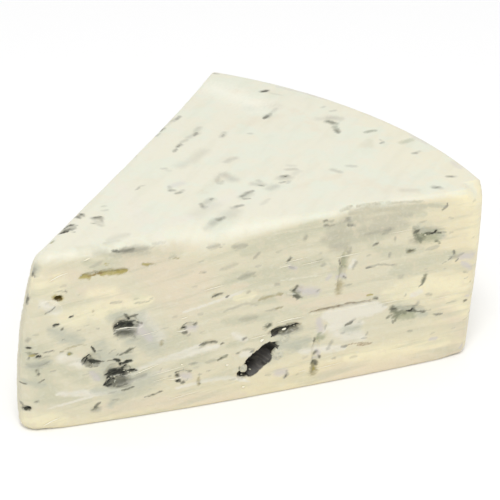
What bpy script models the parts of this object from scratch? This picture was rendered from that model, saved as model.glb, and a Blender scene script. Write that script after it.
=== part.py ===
"""A wedge of bleu d'Auvergne, cut from a wheel sliced in half, standing on its flat foot.

Metres, +Z up. +X runs from the point of the wedge to the rind, with one cut face on each side.
The origin lies on the foot, under the middle of the wedge's box.
The cuts were made by hand, so the point leans back: at the foot the cuts meet at the wheel's
centre, and at the top they meet a little short of it.
"""

import math
import random

import bmesh
import bpy
from mathutils import Matrix, Vector, noise

MM = 0.001

# Driving dimensions.
WHEEL_RADIUS = 0.1000
SLAB_HEIGHT = 0.0371
RIND_SPAN = math.radians(48.5)  # what the wedge takes of the wheel's full turn
POINT_SETBACK_TOP = 0.0068  # wheel's centre to where the cuts meet, along the front cut
POINT_SETBACK_FOOT = 0.0
POINT_LEAN_CURVE = 2.0  # above 1 the point leans back mostly near the top
RIND_TUCK = 0.0028  # how much smaller the wheel is at its foot

# Corners seen from above.
POINT_RADIUS_TOP = 0.0030
POINT_RADIUS_FOOT = 0.0040
FRONT_CORNER_RADIUS_TOP = 0.0051
FRONT_CORNER_RADIUS_FOOT = 0.0027
CORNER_CURVE = 4.0  # above 1 the front corner widens mostly near the top
BACK_CORNER_RADIUS = 0.0013

# Edges seen from the side.
FOOT_EDGE_RADIUS = 0.0009
FOOT_CORNER_RADIUS = 0.0019
SHOULDER_FRONT = 0.0016
SHOULDER_SOFTENING = 0.0044  # the front cut's upper edge is this much rounder where it slumps
SHOULDER_SLUMP = 0.0400  # where it slumps most, from the wheel's centre
SHOULDER_SLUMP_SPREAD = 0.0140
SHOULDER_CORNER_RISE = 0.0031  # how much rounder the front corner's top is at its middle
SHOULDER_POINT = 0.0026
POINT_EASE = 0.25  # the share of a cut over which its edge eases into the point's
SHOULDER_RIND = 0.0010
SHOULDER_BACK = 0.0010

# Hand-cut unevenness.
FOOT_BOW = 0.0013  # the front cut swells by this at the middle of its foot
BACK_HOLLOW = 0.0011  # the back cut dips in by this at its middle
BITE_DEPTH = 0.0013  # the front cut steps in by this under its upper edge, nearer the rind
BITE_START = 0.0685  # from the wheel's centre
BITE_STEP = 0.0035
BITE_HEIGHT = 0.0090  # how far down from the top the bite fades out
BITE_LEFT = 0.35  # the share of the bite that is left at the rind
WALL_SWAY = 0.0003
TOP_SWAY = 0.0004
SWAY_SIZE = 0.024

# Mesh density: how many steps each stretch of the outline and of the profile takes.
STRETCH_STEPS = {"front": 34, "corner": 6, "rind": 26, "back_corner": 3, "back": 30, "point": 8}
FOOT_STEPS = 3
WALL_STEPS = 12
SHOULDER_STEPS = 5
TOP_STEPS = 9
FOOT_RINGS = (0.5,)

# Pockets in the front cut: name, reach from the wheel's centre, height above the foot, length,
# width and depth, all in millimetres, and the turn from level in degrees.
FRONT_POCKETS = (
    ("cavity", 51.7, 8.3, 10.8, 3.4, 4.0, 37),
    ("cavity_arm", 57.2, 14.5, 7.0, 1.7, 2.4, 12),
    ("upper_mould", 25.7, 20.4, 5.0, 4.4, 0.8, 6),
    ("lower_mould", 23.8, 10.2, 5.8, 5.2, 1.0, 4),
    ("point_mould", 18.9, 14.2, 3.9, 2.8, 0.7, 0),
    ("eye", 13.4, 28.5, 2.1, 1.5, 1.8, -5),
    ("point_crack", 22.1, 32.2, 9.4, 0.9, 0.7, -2),
    ("foot_eye", 6.3, 5.4, 1.7, 1.0, 0.7, 8),
    ("upper_ring", 37.6, 17.8, 3.0, 2.5, 0.5, 10),
    ("lower_ring", 36.4, 7.7, 3.2, 2.8, 0.5, 10),
    ("far_ring", 59.6, 21.5, 2.6, 2.2, 0.5, 10),
    ("upper_slit", 43.7, 23.6, 2.8, 1.1, 0.5, 11),
    ("lower_slit", 41.6, 13.7, 3.6, 1.2, 0.5, 5),
    ("ledge", 69.0, 16.6, 14.4, 1.0, 0.8, 1),
    ("upper_needle", 69.0, 24.9, 9.6, 1.6, 0.6, 78),
    ("lower_needle", 63.4, 7.2, 8.0, 1.6, 0.6, 84),
    ("upper_branch", 86.9, 29.6, 7.4, 2.4, 0.6, -4),
    ("lower_branch", 82.8, 13.1, 8.2, 2.4, 0.6, -8),
)

# The back cut isn't seen, so its pockets are drawn by a rule in the front cut's sizes.
BACK_POCKET_COUNT = 18
BACK_POCKET_SEED = 7
BACK_POCKET_REACH = (20.0, 92.0)
BACK_POCKET_HEIGHT = (5.0, 32.0)
BACK_POCKET_LENGTH = (1.6, 6.5)
BACK_POCKET_SLIMNESS = (0.3, 0.8)
BACK_POCKET_DEPTH = (0.4, 1.0)
BACK_CAVITY = (60.0, 22.0, 10.0, 3.0, 3.2, 24)
BACK_POCKET_GAP = 1.5

POCKET_SUBDIVISIONS = 2
LONG_POCKET = 8.0  # millimetres, past which a pocket takes one more subdivision
POCKET_RAGGEDNESS = 0.45
POCKET_LUMPS = 1.7

PASTE_COLOUR = (0.80, 0.76, 0.58, 1.0)
PASTE_ROUGHNESS = 0.45


def mix(start, end, share):
    return start + (end - start) * share


def ease(share):
    share = min(max(share, 0.0), 1.0)
    return share * share * (3.0 - 2.0 * share)


def heading(angle):
    return Vector((math.cos(angle), math.sin(angle), 0.0))


def right_of(direction):
    return Vector((direction.y, -direction.x, 0.0))


def clear_scene():
    for item in list(bpy.data.objects):
        bpy.data.objects.remove(item, do_unlink=True)


class Plan:
    """The wedge's outline at one level, from 0 at the foot to 1 at the top.

    It is laid out round the wheel's centre, with the front cut along one radius. The back cut
    runs from where the cuts meet to the rind's far end."""

    def __init__(self, level):
        self.radius = WHEEL_RADIUS - RIND_TUCK * (1.0 - level)
        self.front = heading(-RIND_SPAN / 2)
        rind_end = heading(RIND_SPAN / 2) * self.radius
        lean = level**POINT_LEAN_CURVE
        self.vertex = self.front * mix(POINT_SETBACK_FOOT, POINT_SETBACK_TOP, lean)
        self.back = (rind_end - self.vertex).normalized()
        self.point_radius = mix(POINT_RADIUS_FOOT, POINT_RADIUS_TOP, level)
        widening = level**CORNER_CURVE
        self.corner_radius = mix(FRONT_CORNER_RADIUS_FOOT, FRONT_CORNER_RADIUS_TOP, widening)
        self.level = level
        half_angle = self.front.angle(self.back) / 2
        self.point_reach = self.point_radius / math.tan(half_angle)
        middle = (self.front + self.back).normalized()
        self.point_centre = self.vertex + middle * self.point_radius / math.sin(half_angle)
        inner = self.radius - self.corner_radius
        along = math.sqrt(inner**2 - self.corner_radius**2)
        self.corner_centre = self.front * along - right_of(self.front) * self.corner_radius
        # The back corner's circle touches the back cut and the rind.
        inner = self.radius - BACK_CORNER_RADIUS
        base = self.vertex + right_of(self.back) * BACK_CORNER_RADIUS
        across = base.dot(self.back)
        run = -across + math.sqrt(across**2 - base.length_squared + inner**2)
        self.back_corner_centre = base + self.back * run

    def run(self, side):
        """The two ends of one cut's straight run, from the point to the rind."""
        if side == "front":
            edge = right_of(self.front) * self.corner_radius
            return self.vertex + self.front * self.point_reach, self.corner_centre + edge
        edge = -right_of(self.back) * BACK_CORNER_RADIUS
        return self.vertex + self.back * self.point_reach, self.back_corner_centre + edge

    def place(self, stretch, share):
        """The point and outward direction at a share of the way along one stretch."""
        out_front = right_of(self.front)
        out_back = -right_of(self.back)
        if stretch == "front":
            start, end = self.run("front")
            return start.lerp(end, share) + out_front * self.front_swell(share), out_front
        if stretch == "corner":
            centre = self.corner_centre
            spot, out = self.arc(centre, self.corner_radius, out_front, centre, share)
            return spot + out_front * self.front_swell(1.0) * (1 - share), out
        if stretch == "rind":
            first = math.atan2(self.corner_centre.y, self.corner_centre.x)
            last = math.atan2(self.back_corner_centre.y, self.back_corner_centre.x)
            out = heading(mix(first, last, share))
            return out * self.radius, out
        if stretch == "back_corner":
            centre = self.back_corner_centre
            return self.arc(centre, BACK_CORNER_RADIUS, centre, out_back, share)
        if stretch == "back":
            start, end = self.run("back")
            hollow = out_back * BACK_HOLLOW * 4 * share * (1 - share)
            return end.lerp(start, share) - hollow, out_back
        return self.arc(self.point_centre, self.point_radius, out_back, out_front, share)

    def front_swell(self, share):
        """How far the front cut stands out, or in, at a share of its length."""
        reach = mix(self.vertex.length, self.radius, share)
        bow = FOOT_BOW * (1.0 - self.level) * 4 * share * (1 - share)
        upper = 1.0 - (1.0 - self.level) * SLAB_HEIGHT / BITE_HEIGHT
        beyond = ease((reach - BITE_START) / BITE_STEP)
        left = mix(1.0, BITE_LEFT, (reach - BITE_START) / (self.radius - BITE_START))
        return bow - BITE_DEPTH * beyond * left * ease(upper)

    def arc(self, centre, radius, first_out, last_out, share):
        first = math.atan2(first_out.y, first_out.x)
        sweep = (math.atan2(last_out.y, last_out.x) - first) % (2 * math.pi)
        out = heading(first + sweep * share)
        return centre + out * radius, out


def stations():
    """Each step round the outline, anticlockwise from the front cut's start at the point."""
    return [
        (stretch, step / steps) for stretch, steps in STRETCH_STEPS.items() for step in range(steps)
    ]


def shoulder_radius(stretch, share):
    """How round the upper edge is: it slumps along the front cut and at the front corner."""
    if stretch == "front":
        reach = mix(POINT_SETBACK_TOP, WHEEL_RADIUS, share)
        slump = math.exp(-(((reach - SHOULDER_SLUMP) / SHOULDER_SLUMP_SPREAD) ** 2))
        start = mix(SHOULDER_POINT, SHOULDER_FRONT, ease(share / POINT_EASE))
        return start + SHOULDER_SOFTENING * slump
    if stretch == "corner":
        rise = SHOULDER_CORNER_RISE * math.sin(math.pi * share)
        return mix(SHOULDER_FRONT, SHOULDER_RIND, share) + rise
    if stretch == "rind":
        return SHOULDER_RIND
    if stretch == "back_corner":
        return mix(SHOULDER_RIND, SHOULDER_BACK, share)
    if stretch == "back":
        return mix(SHOULDER_BACK, SHOULDER_POINT, ease((share - 1 + POINT_EASE) / POINT_EASE))
    return SHOULDER_POINT


def foot_radius(stretch):
    return FOOT_CORNER_RADIUS if stretch in ("corner", "point") else FOOT_EDGE_RADIUS


def sway(point, amount):
    """A slow unevenness between 0 and minus the amount given."""
    return -amount * (0.5 + 0.5 * noise.noise(point / SWAY_SIZE))


def wall_point(stretch, share, height, inset):
    """A point of the wall at a height, moved in from the outline by the inset."""
    spot, out = Plan(height / SLAB_HEIGHT).place(stretch, share)
    spot.z = height
    return spot + out * (sway(spot, WALL_SWAY) - inset)


def profile(stretch, share):
    """The points from the edge of the foot, up the wall and over the shoulder."""
    foot = foot_radius(stretch)
    shoulder = shoulder_radius(stretch, share)
    points = []
    for step in range(FOOT_STEPS):
        turn = math.pi / 2 * step / FOOT_STEPS
        height = foot * (1 - math.cos(turn))
        points.append(wall_point(stretch, share, height, foot * (1 - math.sin(turn))))
    for step in range(WALL_STEPS):
        height = mix(foot, SLAB_HEIGHT - shoulder, step / WALL_STEPS)
        points.append(wall_point(stretch, share, height, 0.0))
    for step in range(SHOULDER_STEPS + 1):
        turn = math.pi / 2 * step / SHOULDER_STEPS
        height = SLAB_HEIGHT - shoulder * (1 - math.sin(turn))
        points.append(wall_point(stretch, share, height, shoulder * (1 - math.cos(turn))))
    return points


def top_point(edge, hub, share):
    spot = edge.lerp(hub, share)
    spot.z = SLAB_HEIGHT + sway(spot, TOP_SWAY) * ease(share * 3)
    return spot


def wedge_mesh():
    """The whole wedge as rings of faces, from the middle of the foot to the middle of the top."""
    profiles = [profile(stretch, share) for stretch, share in stations()]
    rings = [list(ring) for ring in zip(*profiles)]
    hub = sum((ring[0] for ring in profiles), Vector()) / len(profiles)
    hub.z = 0.0
    foot_rings = [[edge.lerp(hub, share) for edge in rings[0]] for share in FOOT_RINGS]
    top_rings = [
        [top_point(edge, hub, step / (TOP_STEPS + 1)) for edge in rings[-1]]
        for step in range(1, TOP_STEPS + 1)
    ]
    bm = bmesh.new()
    loops = [
        [bm.verts.new(spot) for spot in ring] for ring in foot_rings[::-1] + rings + top_rings
    ]
    for lower, upper in zip(loops, loops[1:]):
        for index in range(len(lower)):
            after = (index + 1) % len(lower)
            bm.faces.new((lower[index], lower[after], upper[after], upper[index]))
    close_ring(bm, loops[0], hub)
    top_hub = top_point(hub, hub, 1.0)
    close_ring(bm, loops[-1], top_hub)
    bmesh.ops.recalc_face_normals(bm, faces=bm.faces)
    mesh = bpy.data.meshes.new("cheese_wedge")
    bm.to_mesh(mesh)
    bm.free()
    return mesh


def close_ring(bm, ring, middle):
    pole = bm.verts.new(middle)
    for index, vert in enumerate(ring):
        bm.faces.new((vert, ring[(index + 1) % len(ring)], pole))


def cut_matrix(side, reach, height, turn):
    """A frame on a cut face: local X along the cut, turned from level, and local Z outwards."""
    plan = Plan(height / SLAB_HEIGHT)
    start, end = plan.run(side)
    share = (reach - start.length) / (end.length - start.length)
    spot, out = plan.place(side, share if side == "front" else 1 - share)
    spot.z = height
    axes = Matrix((-right_of(out), Vector((0, 0, 1)), out)).transposed().to_4x4()
    return Matrix.Translation(spot) @ axes @ Matrix.Rotation(turn, 4, "Z")


def pocket(side, name, reach, height, length, width, depth, turn):
    """A ragged ellipsoid, centred on the cut, that takes one pocket out. Sizes in millimetres."""
    bm = bmesh.new()
    subdivisions = POCKET_SUBDIVISIONS + (length > LONG_POCKET)
    bmesh.ops.create_icosphere(bm, subdivisions=subdivisions, radius=1.0)
    offset = Vector((reach, height, 0.0))
    for vert in bm.verts:
        vert.co *= 1.0 + POCKET_RAGGEDNESS * noise.noise(vert.co * POCKET_LUMPS + offset)
    size = Vector((length / 2, width / 2, depth)) * MM
    bmesh.ops.transform(bm, matrix=Matrix.Diagonal(size).to_4x4(), verts=bm.verts)
    place = cut_matrix(side, reach * MM, height * MM, math.radians(turn))
    bmesh.ops.transform(bm, matrix=place, verts=bm.verts)
    mesh = bpy.data.meshes.new(name)
    bm.to_mesh(mesh)
    bm.free()
    cutter = bpy.data.objects.new(name, mesh)
    cutter.hide_render = True
    cutter.display_type = "WIRE"
    return cutter


def back_pockets():
    """Pockets over the back cut, none nearer to another than the gap."""
    draw = random.Random(BACK_POCKET_SEED)
    placed = [("back_cavity", *BACK_CAVITY)]
    while len(placed) <= BACK_POCKET_COUNT:
        reach = draw.uniform(*BACK_POCKET_REACH)
        height = draw.uniform(*BACK_POCKET_HEIGHT)
        length = draw.uniform(*BACK_POCKET_LENGTH)
        width = max(0.8, length * draw.uniform(*BACK_POCKET_SLIMNESS))
        depth = draw.uniform(*BACK_POCKET_DEPTH)
        turn = draw.uniform(-5, 30)
        apart = (
            math.hypot(reach - other[1], height - other[2]) - (length + other[3]) / 2
            for other in placed
        )
        if min(apart) > BACK_POCKET_GAP:
            placed.append((f"back_pocket_{len(placed)}", reach, height, length, width, depth, turn))
    return placed


def paste_material():
    material = bpy.data.materials.new("blue_cheese_paste")
    material.use_nodes = True
    shader = material.node_tree.nodes["Principled BSDF"]
    shader.inputs["Base Color"].default_value = PASTE_COLOUR
    shader.inputs["Roughness"].default_value = PASTE_ROUGHNESS
    shader.inputs["Metallic"].default_value = 0.0
    return material


def centre_on_foot(mesh):
    """Moves the mesh so that the origin is under the middle of its box."""
    corners = [vert.co for vert in mesh.vertices]
    low = Vector(min(corner[axis] for corner in corners) for axis in range(3))
    high = Vector(max(corner[axis] for corner in corners) for axis in range(3))
    middle = (low + high) / 2
    shift = Matrix.Translation((-middle.x, -middle.y, -low.z))
    mesh.transform(shift)
    return shift


def main():
    clear_scene()
    mesh = wedge_mesh()
    shift = centre_on_foot(mesh)
    wedge = bpy.data.objects.new("cheese_wedge", mesh)
    wedge.data.materials.append(paste_material())
    bpy.context.scene.collection.objects.link(wedge)

    cutters = bpy.data.collections.new("pocket_cutters")
    bpy.context.scene.collection.children.link(cutters)
    sides = {"front": FRONT_POCKETS, "back": back_pockets()}
    for side, pockets in sides.items():
        for values in pockets:
            cutter = pocket(side, *values)
            cutter.data.transform(shift)
            cutters.objects.link(cutter)

    carve = wedge.modifiers.new("pockets", "BOOLEAN")
    carve.operation = "DIFFERENCE"
    carve.operand_type = "COLLECTION"
    carve.collection = cutters
    carve.solver = "EXACT"
    wedge.data.shade_smooth()


if __name__ == "__main__":
    main()
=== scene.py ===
import math
import random

import bpy
import numpy as np
from bpy.props import FloatProperty, FloatVectorProperty, IntProperty, PointerProperty
from mathutils import Matrix, Vector, geometry, kdtree, noise


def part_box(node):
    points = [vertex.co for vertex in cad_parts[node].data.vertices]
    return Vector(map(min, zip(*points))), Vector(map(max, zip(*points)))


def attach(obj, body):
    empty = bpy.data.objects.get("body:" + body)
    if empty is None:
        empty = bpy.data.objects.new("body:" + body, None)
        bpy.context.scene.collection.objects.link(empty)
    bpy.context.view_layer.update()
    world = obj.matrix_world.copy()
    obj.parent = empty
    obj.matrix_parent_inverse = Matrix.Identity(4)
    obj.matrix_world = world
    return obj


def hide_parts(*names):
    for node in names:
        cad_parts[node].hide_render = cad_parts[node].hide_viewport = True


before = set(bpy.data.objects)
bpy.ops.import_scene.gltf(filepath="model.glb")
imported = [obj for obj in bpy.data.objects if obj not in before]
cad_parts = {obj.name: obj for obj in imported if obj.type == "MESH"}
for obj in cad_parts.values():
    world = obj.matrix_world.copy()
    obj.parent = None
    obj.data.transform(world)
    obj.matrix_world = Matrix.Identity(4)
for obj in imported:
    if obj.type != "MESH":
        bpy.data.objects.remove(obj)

bl_info = {
    "name": "Blue Cheese Wedge",
    "version": (1, 0, 0),
    "blender": (4, 5, 0),
    "location": "View3D > Sidebar > Cheese",
    "description": "Builds a wedge of bleu d'Auvergne with its mould, smears and crumbs on the packed solid",
    "category": "Object",
}

MM = 0.001
LOW_CORNER, HIGH_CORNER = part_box("cheese_wedge")

# The wedge's shape, in the same sizes as its solid.
WHEEL_RADIUS = 0.1000
SLAB_HEIGHT = 0.0371
RIND_SPAN = math.radians(48.5)
POINT_SETBACK_TOP = 0.0068
POINT_SETBACK_FOOT = 0.0
POINT_LEAN_CURVE = 2.0
RIND_TUCK = 0.0028
POINT_RADIUS_TOP = 0.0030
POINT_RADIUS_FOOT = 0.0040
FRONT_CORNER_RADIUS_TOP = 0.0051
FRONT_CORNER_RADIUS_FOOT = 0.0027
CORNER_CURVE = 4.0
BACK_CORNER_RADIUS = 0.0013
FOOT_EDGE_RADIUS = 0.0009
FOOT_CORNER_RADIUS = 0.0019
FOOT_EASE = 0.05  # the share of a side over which its foot's rounding eases off
SHOULDER_FRONT = 0.0016
SHOULDER_SOFTENING = 0.0044
SHOULDER_SLUMP = 0.0400
SHOULDER_SLUMP_SPREAD = 0.0140
SHOULDER_CORNER_RISE = 0.0031
SHOULDER_POINT = 0.0026
POINT_EASE = 0.25
SHOULDER_RIND = 0.0010
SHOULDER_BACK = 0.0010
FOOT_BOW = 0.0013
BACK_HOLLOW = 0.0011
BITE_DEPTH = 0.0013
BITE_START = 0.0685
BITE_STEP = 0.0035
BITE_HEIGHT = 0.0090
BITE_LEFT = 0.35
WALL_SWAY = 0.0003
TOP_SWAY = 0.0004
TOP_SWAY_START = 0.0120  # how far in from its edge the top's unevenness is full
SWAY_SIZE = 0.024

# How many columns each stretch of the outline takes, and how many rows run up the fine
# stretches. The others have half as many rows.
STRETCH_COLUMNS = {"front": 352, "corner": 14, "rind": 140, "back_corner": 4, "back": 190, "point": 16}
FINE_STRETCHES = ("front", "corner", "point")
FINE_ROWS = 142
COARSE_ROWS = FINE_ROWS // 2
TOP_STEP_MM = 0.5
FOOT_STEP_MM = 2.5
EDGE_CLEARANCE = 0.8  # of a step, between the edge and the first points inside it
MOST_OUTSIDE = 0.0010  # how far a point may be out of the solid's box before it is moved in

# Pockets in the front cut: reach from the wheel's centre, height, length, width and depth, all in
# millimetres, and the turn from level in degrees.
FRONT_POCKETS = {
    "cavity": (51.5, 8.1, 10.4, 3.4, 4.0, 38),
    "cavity_arm": (57.0, 14.0, 7.0, 1.7, 1.6, 6),
    "upper_mould": (25.7, 20.4, 5.0, 4.4, 0.8, 6),
    "lower_mould": (23.8, 10.2, 5.8, 5.2, 1.0, 4),
    "point_mould": (18.9, 14.2, 3.9, 2.8, 0.7, 0),
    "eye": (13.3, 28.4, 1.6, 0.9, 1.3, -5),
    "point_crack": (22.1, 32.2, 9.4, 0.9, 0.7, -2),
    "foot_eye": (6.3, 5.4, 1.7, 1.0, 0.7, 8),
    "upper_ring": (37.6, 17.8, 3.0, 2.5, 0.5, 10),
    "lower_ring": (36.4, 7.7, 3.2, 2.8, 0.5, 10),
    "far_ring": (59.6, 21.5, 2.6, 2.2, 0.5, 10),
    "upper_slit": (43.7, 23.6, 2.8, 1.1, 0.5, 11),
    "lower_slit": (41.6, 13.7, 3.6, 1.2, 0.5, 5),
    "ledge": (69.0, 16.6, 14.4, 1.0, 0.8, 1),
    "upper_needle": (69.0, 24.9, 9.6, 1.6, 0.6, 78),
    "lower_needle": (63.4, 7.2, 8.0, 1.6, 0.6, 84),
    "upper_branch": (86.9, 29.6, 7.4, 2.4, 0.6, -4),
    "lower_branch": (82.8, 13.1, 8.2, 2.4, 0.6, -8),
}
# The cavity's inside is painted darker the deeper it goes: its dark mould, and painted shade deep in the
# pocket.
DARK_POCKET = "cavity"  # the one that is dark all over its inside
DARK_POCKET_DEPTHS = (0.5, 1.5)  # from here, in millimetres, it starts to be dark and is all dark
POCKET_CURVE = 0.6  # below 1, a pocket's floor is flat and its sides are steep

# The back cut isn't seen, so its pockets are drawn by chance between these limits.
BACK_POCKET_COUNT = 18
BACK_POCKET_SEED = 7
BACK_POCKET_REACH = (20.0, 92.0)
BACK_POCKET_HEIGHT = (5.0, 32.0)
BACK_POCKET_LENGTH = (1.6, 6.5)
BACK_POCKET_SLIMNESS = (0.3, 0.8)
BACK_POCKET_LEAST_WIDTH = 0.8
BACK_POCKET_DEPTH = (0.4, 1.0)
BACK_POCKET_TURN = (-5, 30)
BACK_CAVITY = (60.0, 22.0, 10.0, 3.0, 3.2, 24)
BACK_POCKET_GAP = 1.5

# What is painted there: a wide pocket is full of mould, a less wide one has a ring of it, and a
# narrow or long one is dark. Specks and clouds lie between them, by their width, reach, height,
# length and turn.
MOULDY_WIDTH = 2.4
RINGED_WIDTH = 1.4
LONG_POCKET = 8
BACK_FLECKS = 3  # in each mouldy pocket
BACK_SPECK_COUNT = 46
BACK_SPECK_KINDS = ("ink", "grey", "grey", "smudge", "grey", "olive")
BACK_SPECK_LIMITS = ((0.3, 0.8), (8, 97), (2, 36), (0.4, 2.6), (-15, 35))
BACK_NEEDLE_REACHES = (31.0, 52.0, 74.0)
BACK_NEEDLE_HEIGHT = (14, 24)
BACK_CLOUD_COUNT = 9
BACK_CLOUD_LIMITS = ((2, 5), (12, 95), (4, 32))
BACK_CLOUD_LENGTH = 5.0
BACK_CLOUD_TURN = 10

# Faint specks on the front cut.
SPECK_SEED = 5
SPECK_COUNT = 70
SPECK_KINDS = ("smudge", "smudge", "grey")
SPECK_REACH = (8, 97)
SPECK_HEIGHT = (3, 36)
SPECK_LENGTH = (0.3, 1.6)
SPECK_RISE = 0.1
SPECK_WIDTH = (0.25, 0.5)

# How strokes and pockets are pushed about, so that their edges are uneven: the size of the
# waves and how far they push, in millimetres, and a seed.
FRONT_WANDER = (1.0, 0.16, 1)
FRONT_FINE_WANDER = (0.4, 0.12, 6)
FRONT_POCKET_WANDER = (1.3, 0.26, 2)
BACK_WANDER = (0.8, 0.30, 3)
TOP_WANDER = (1.0, 0.20, 4)

# A long stroke has this share of its width at its ends, and gains half the swell in its middle.
STROKE_END = 0.45
STROKE_SWELL = 1.125
BRUSH_MARGIN = 0.5  # millimetres round a stroke's box that are looked at

# How squarely the surface faces a side where it starts to belong to it, and where it wholly does.
SIDE_STEPS = {
    "on_front": (0.35, 0.75), "on_back": (0.35, 0.75), "on_top": (0.25, 0.85), "on_foot": (0.3, 0.8),
}
RIND_FACING = (0.2, 0.6)
RIND_REACH = (93.0, 96.0)  # millimetres from the wheel's centre
PAINTED_FACING = {"front": 0.2, "back": 0.2, "top": 0.6}  # where its strokes are laid

# The knife's path climbs near the point and levels out towards the rind.
KNIFE_CLIMB = 0.22
KNIFE_LEVELLING = 0.0012  # for each millimetre of reach

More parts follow.
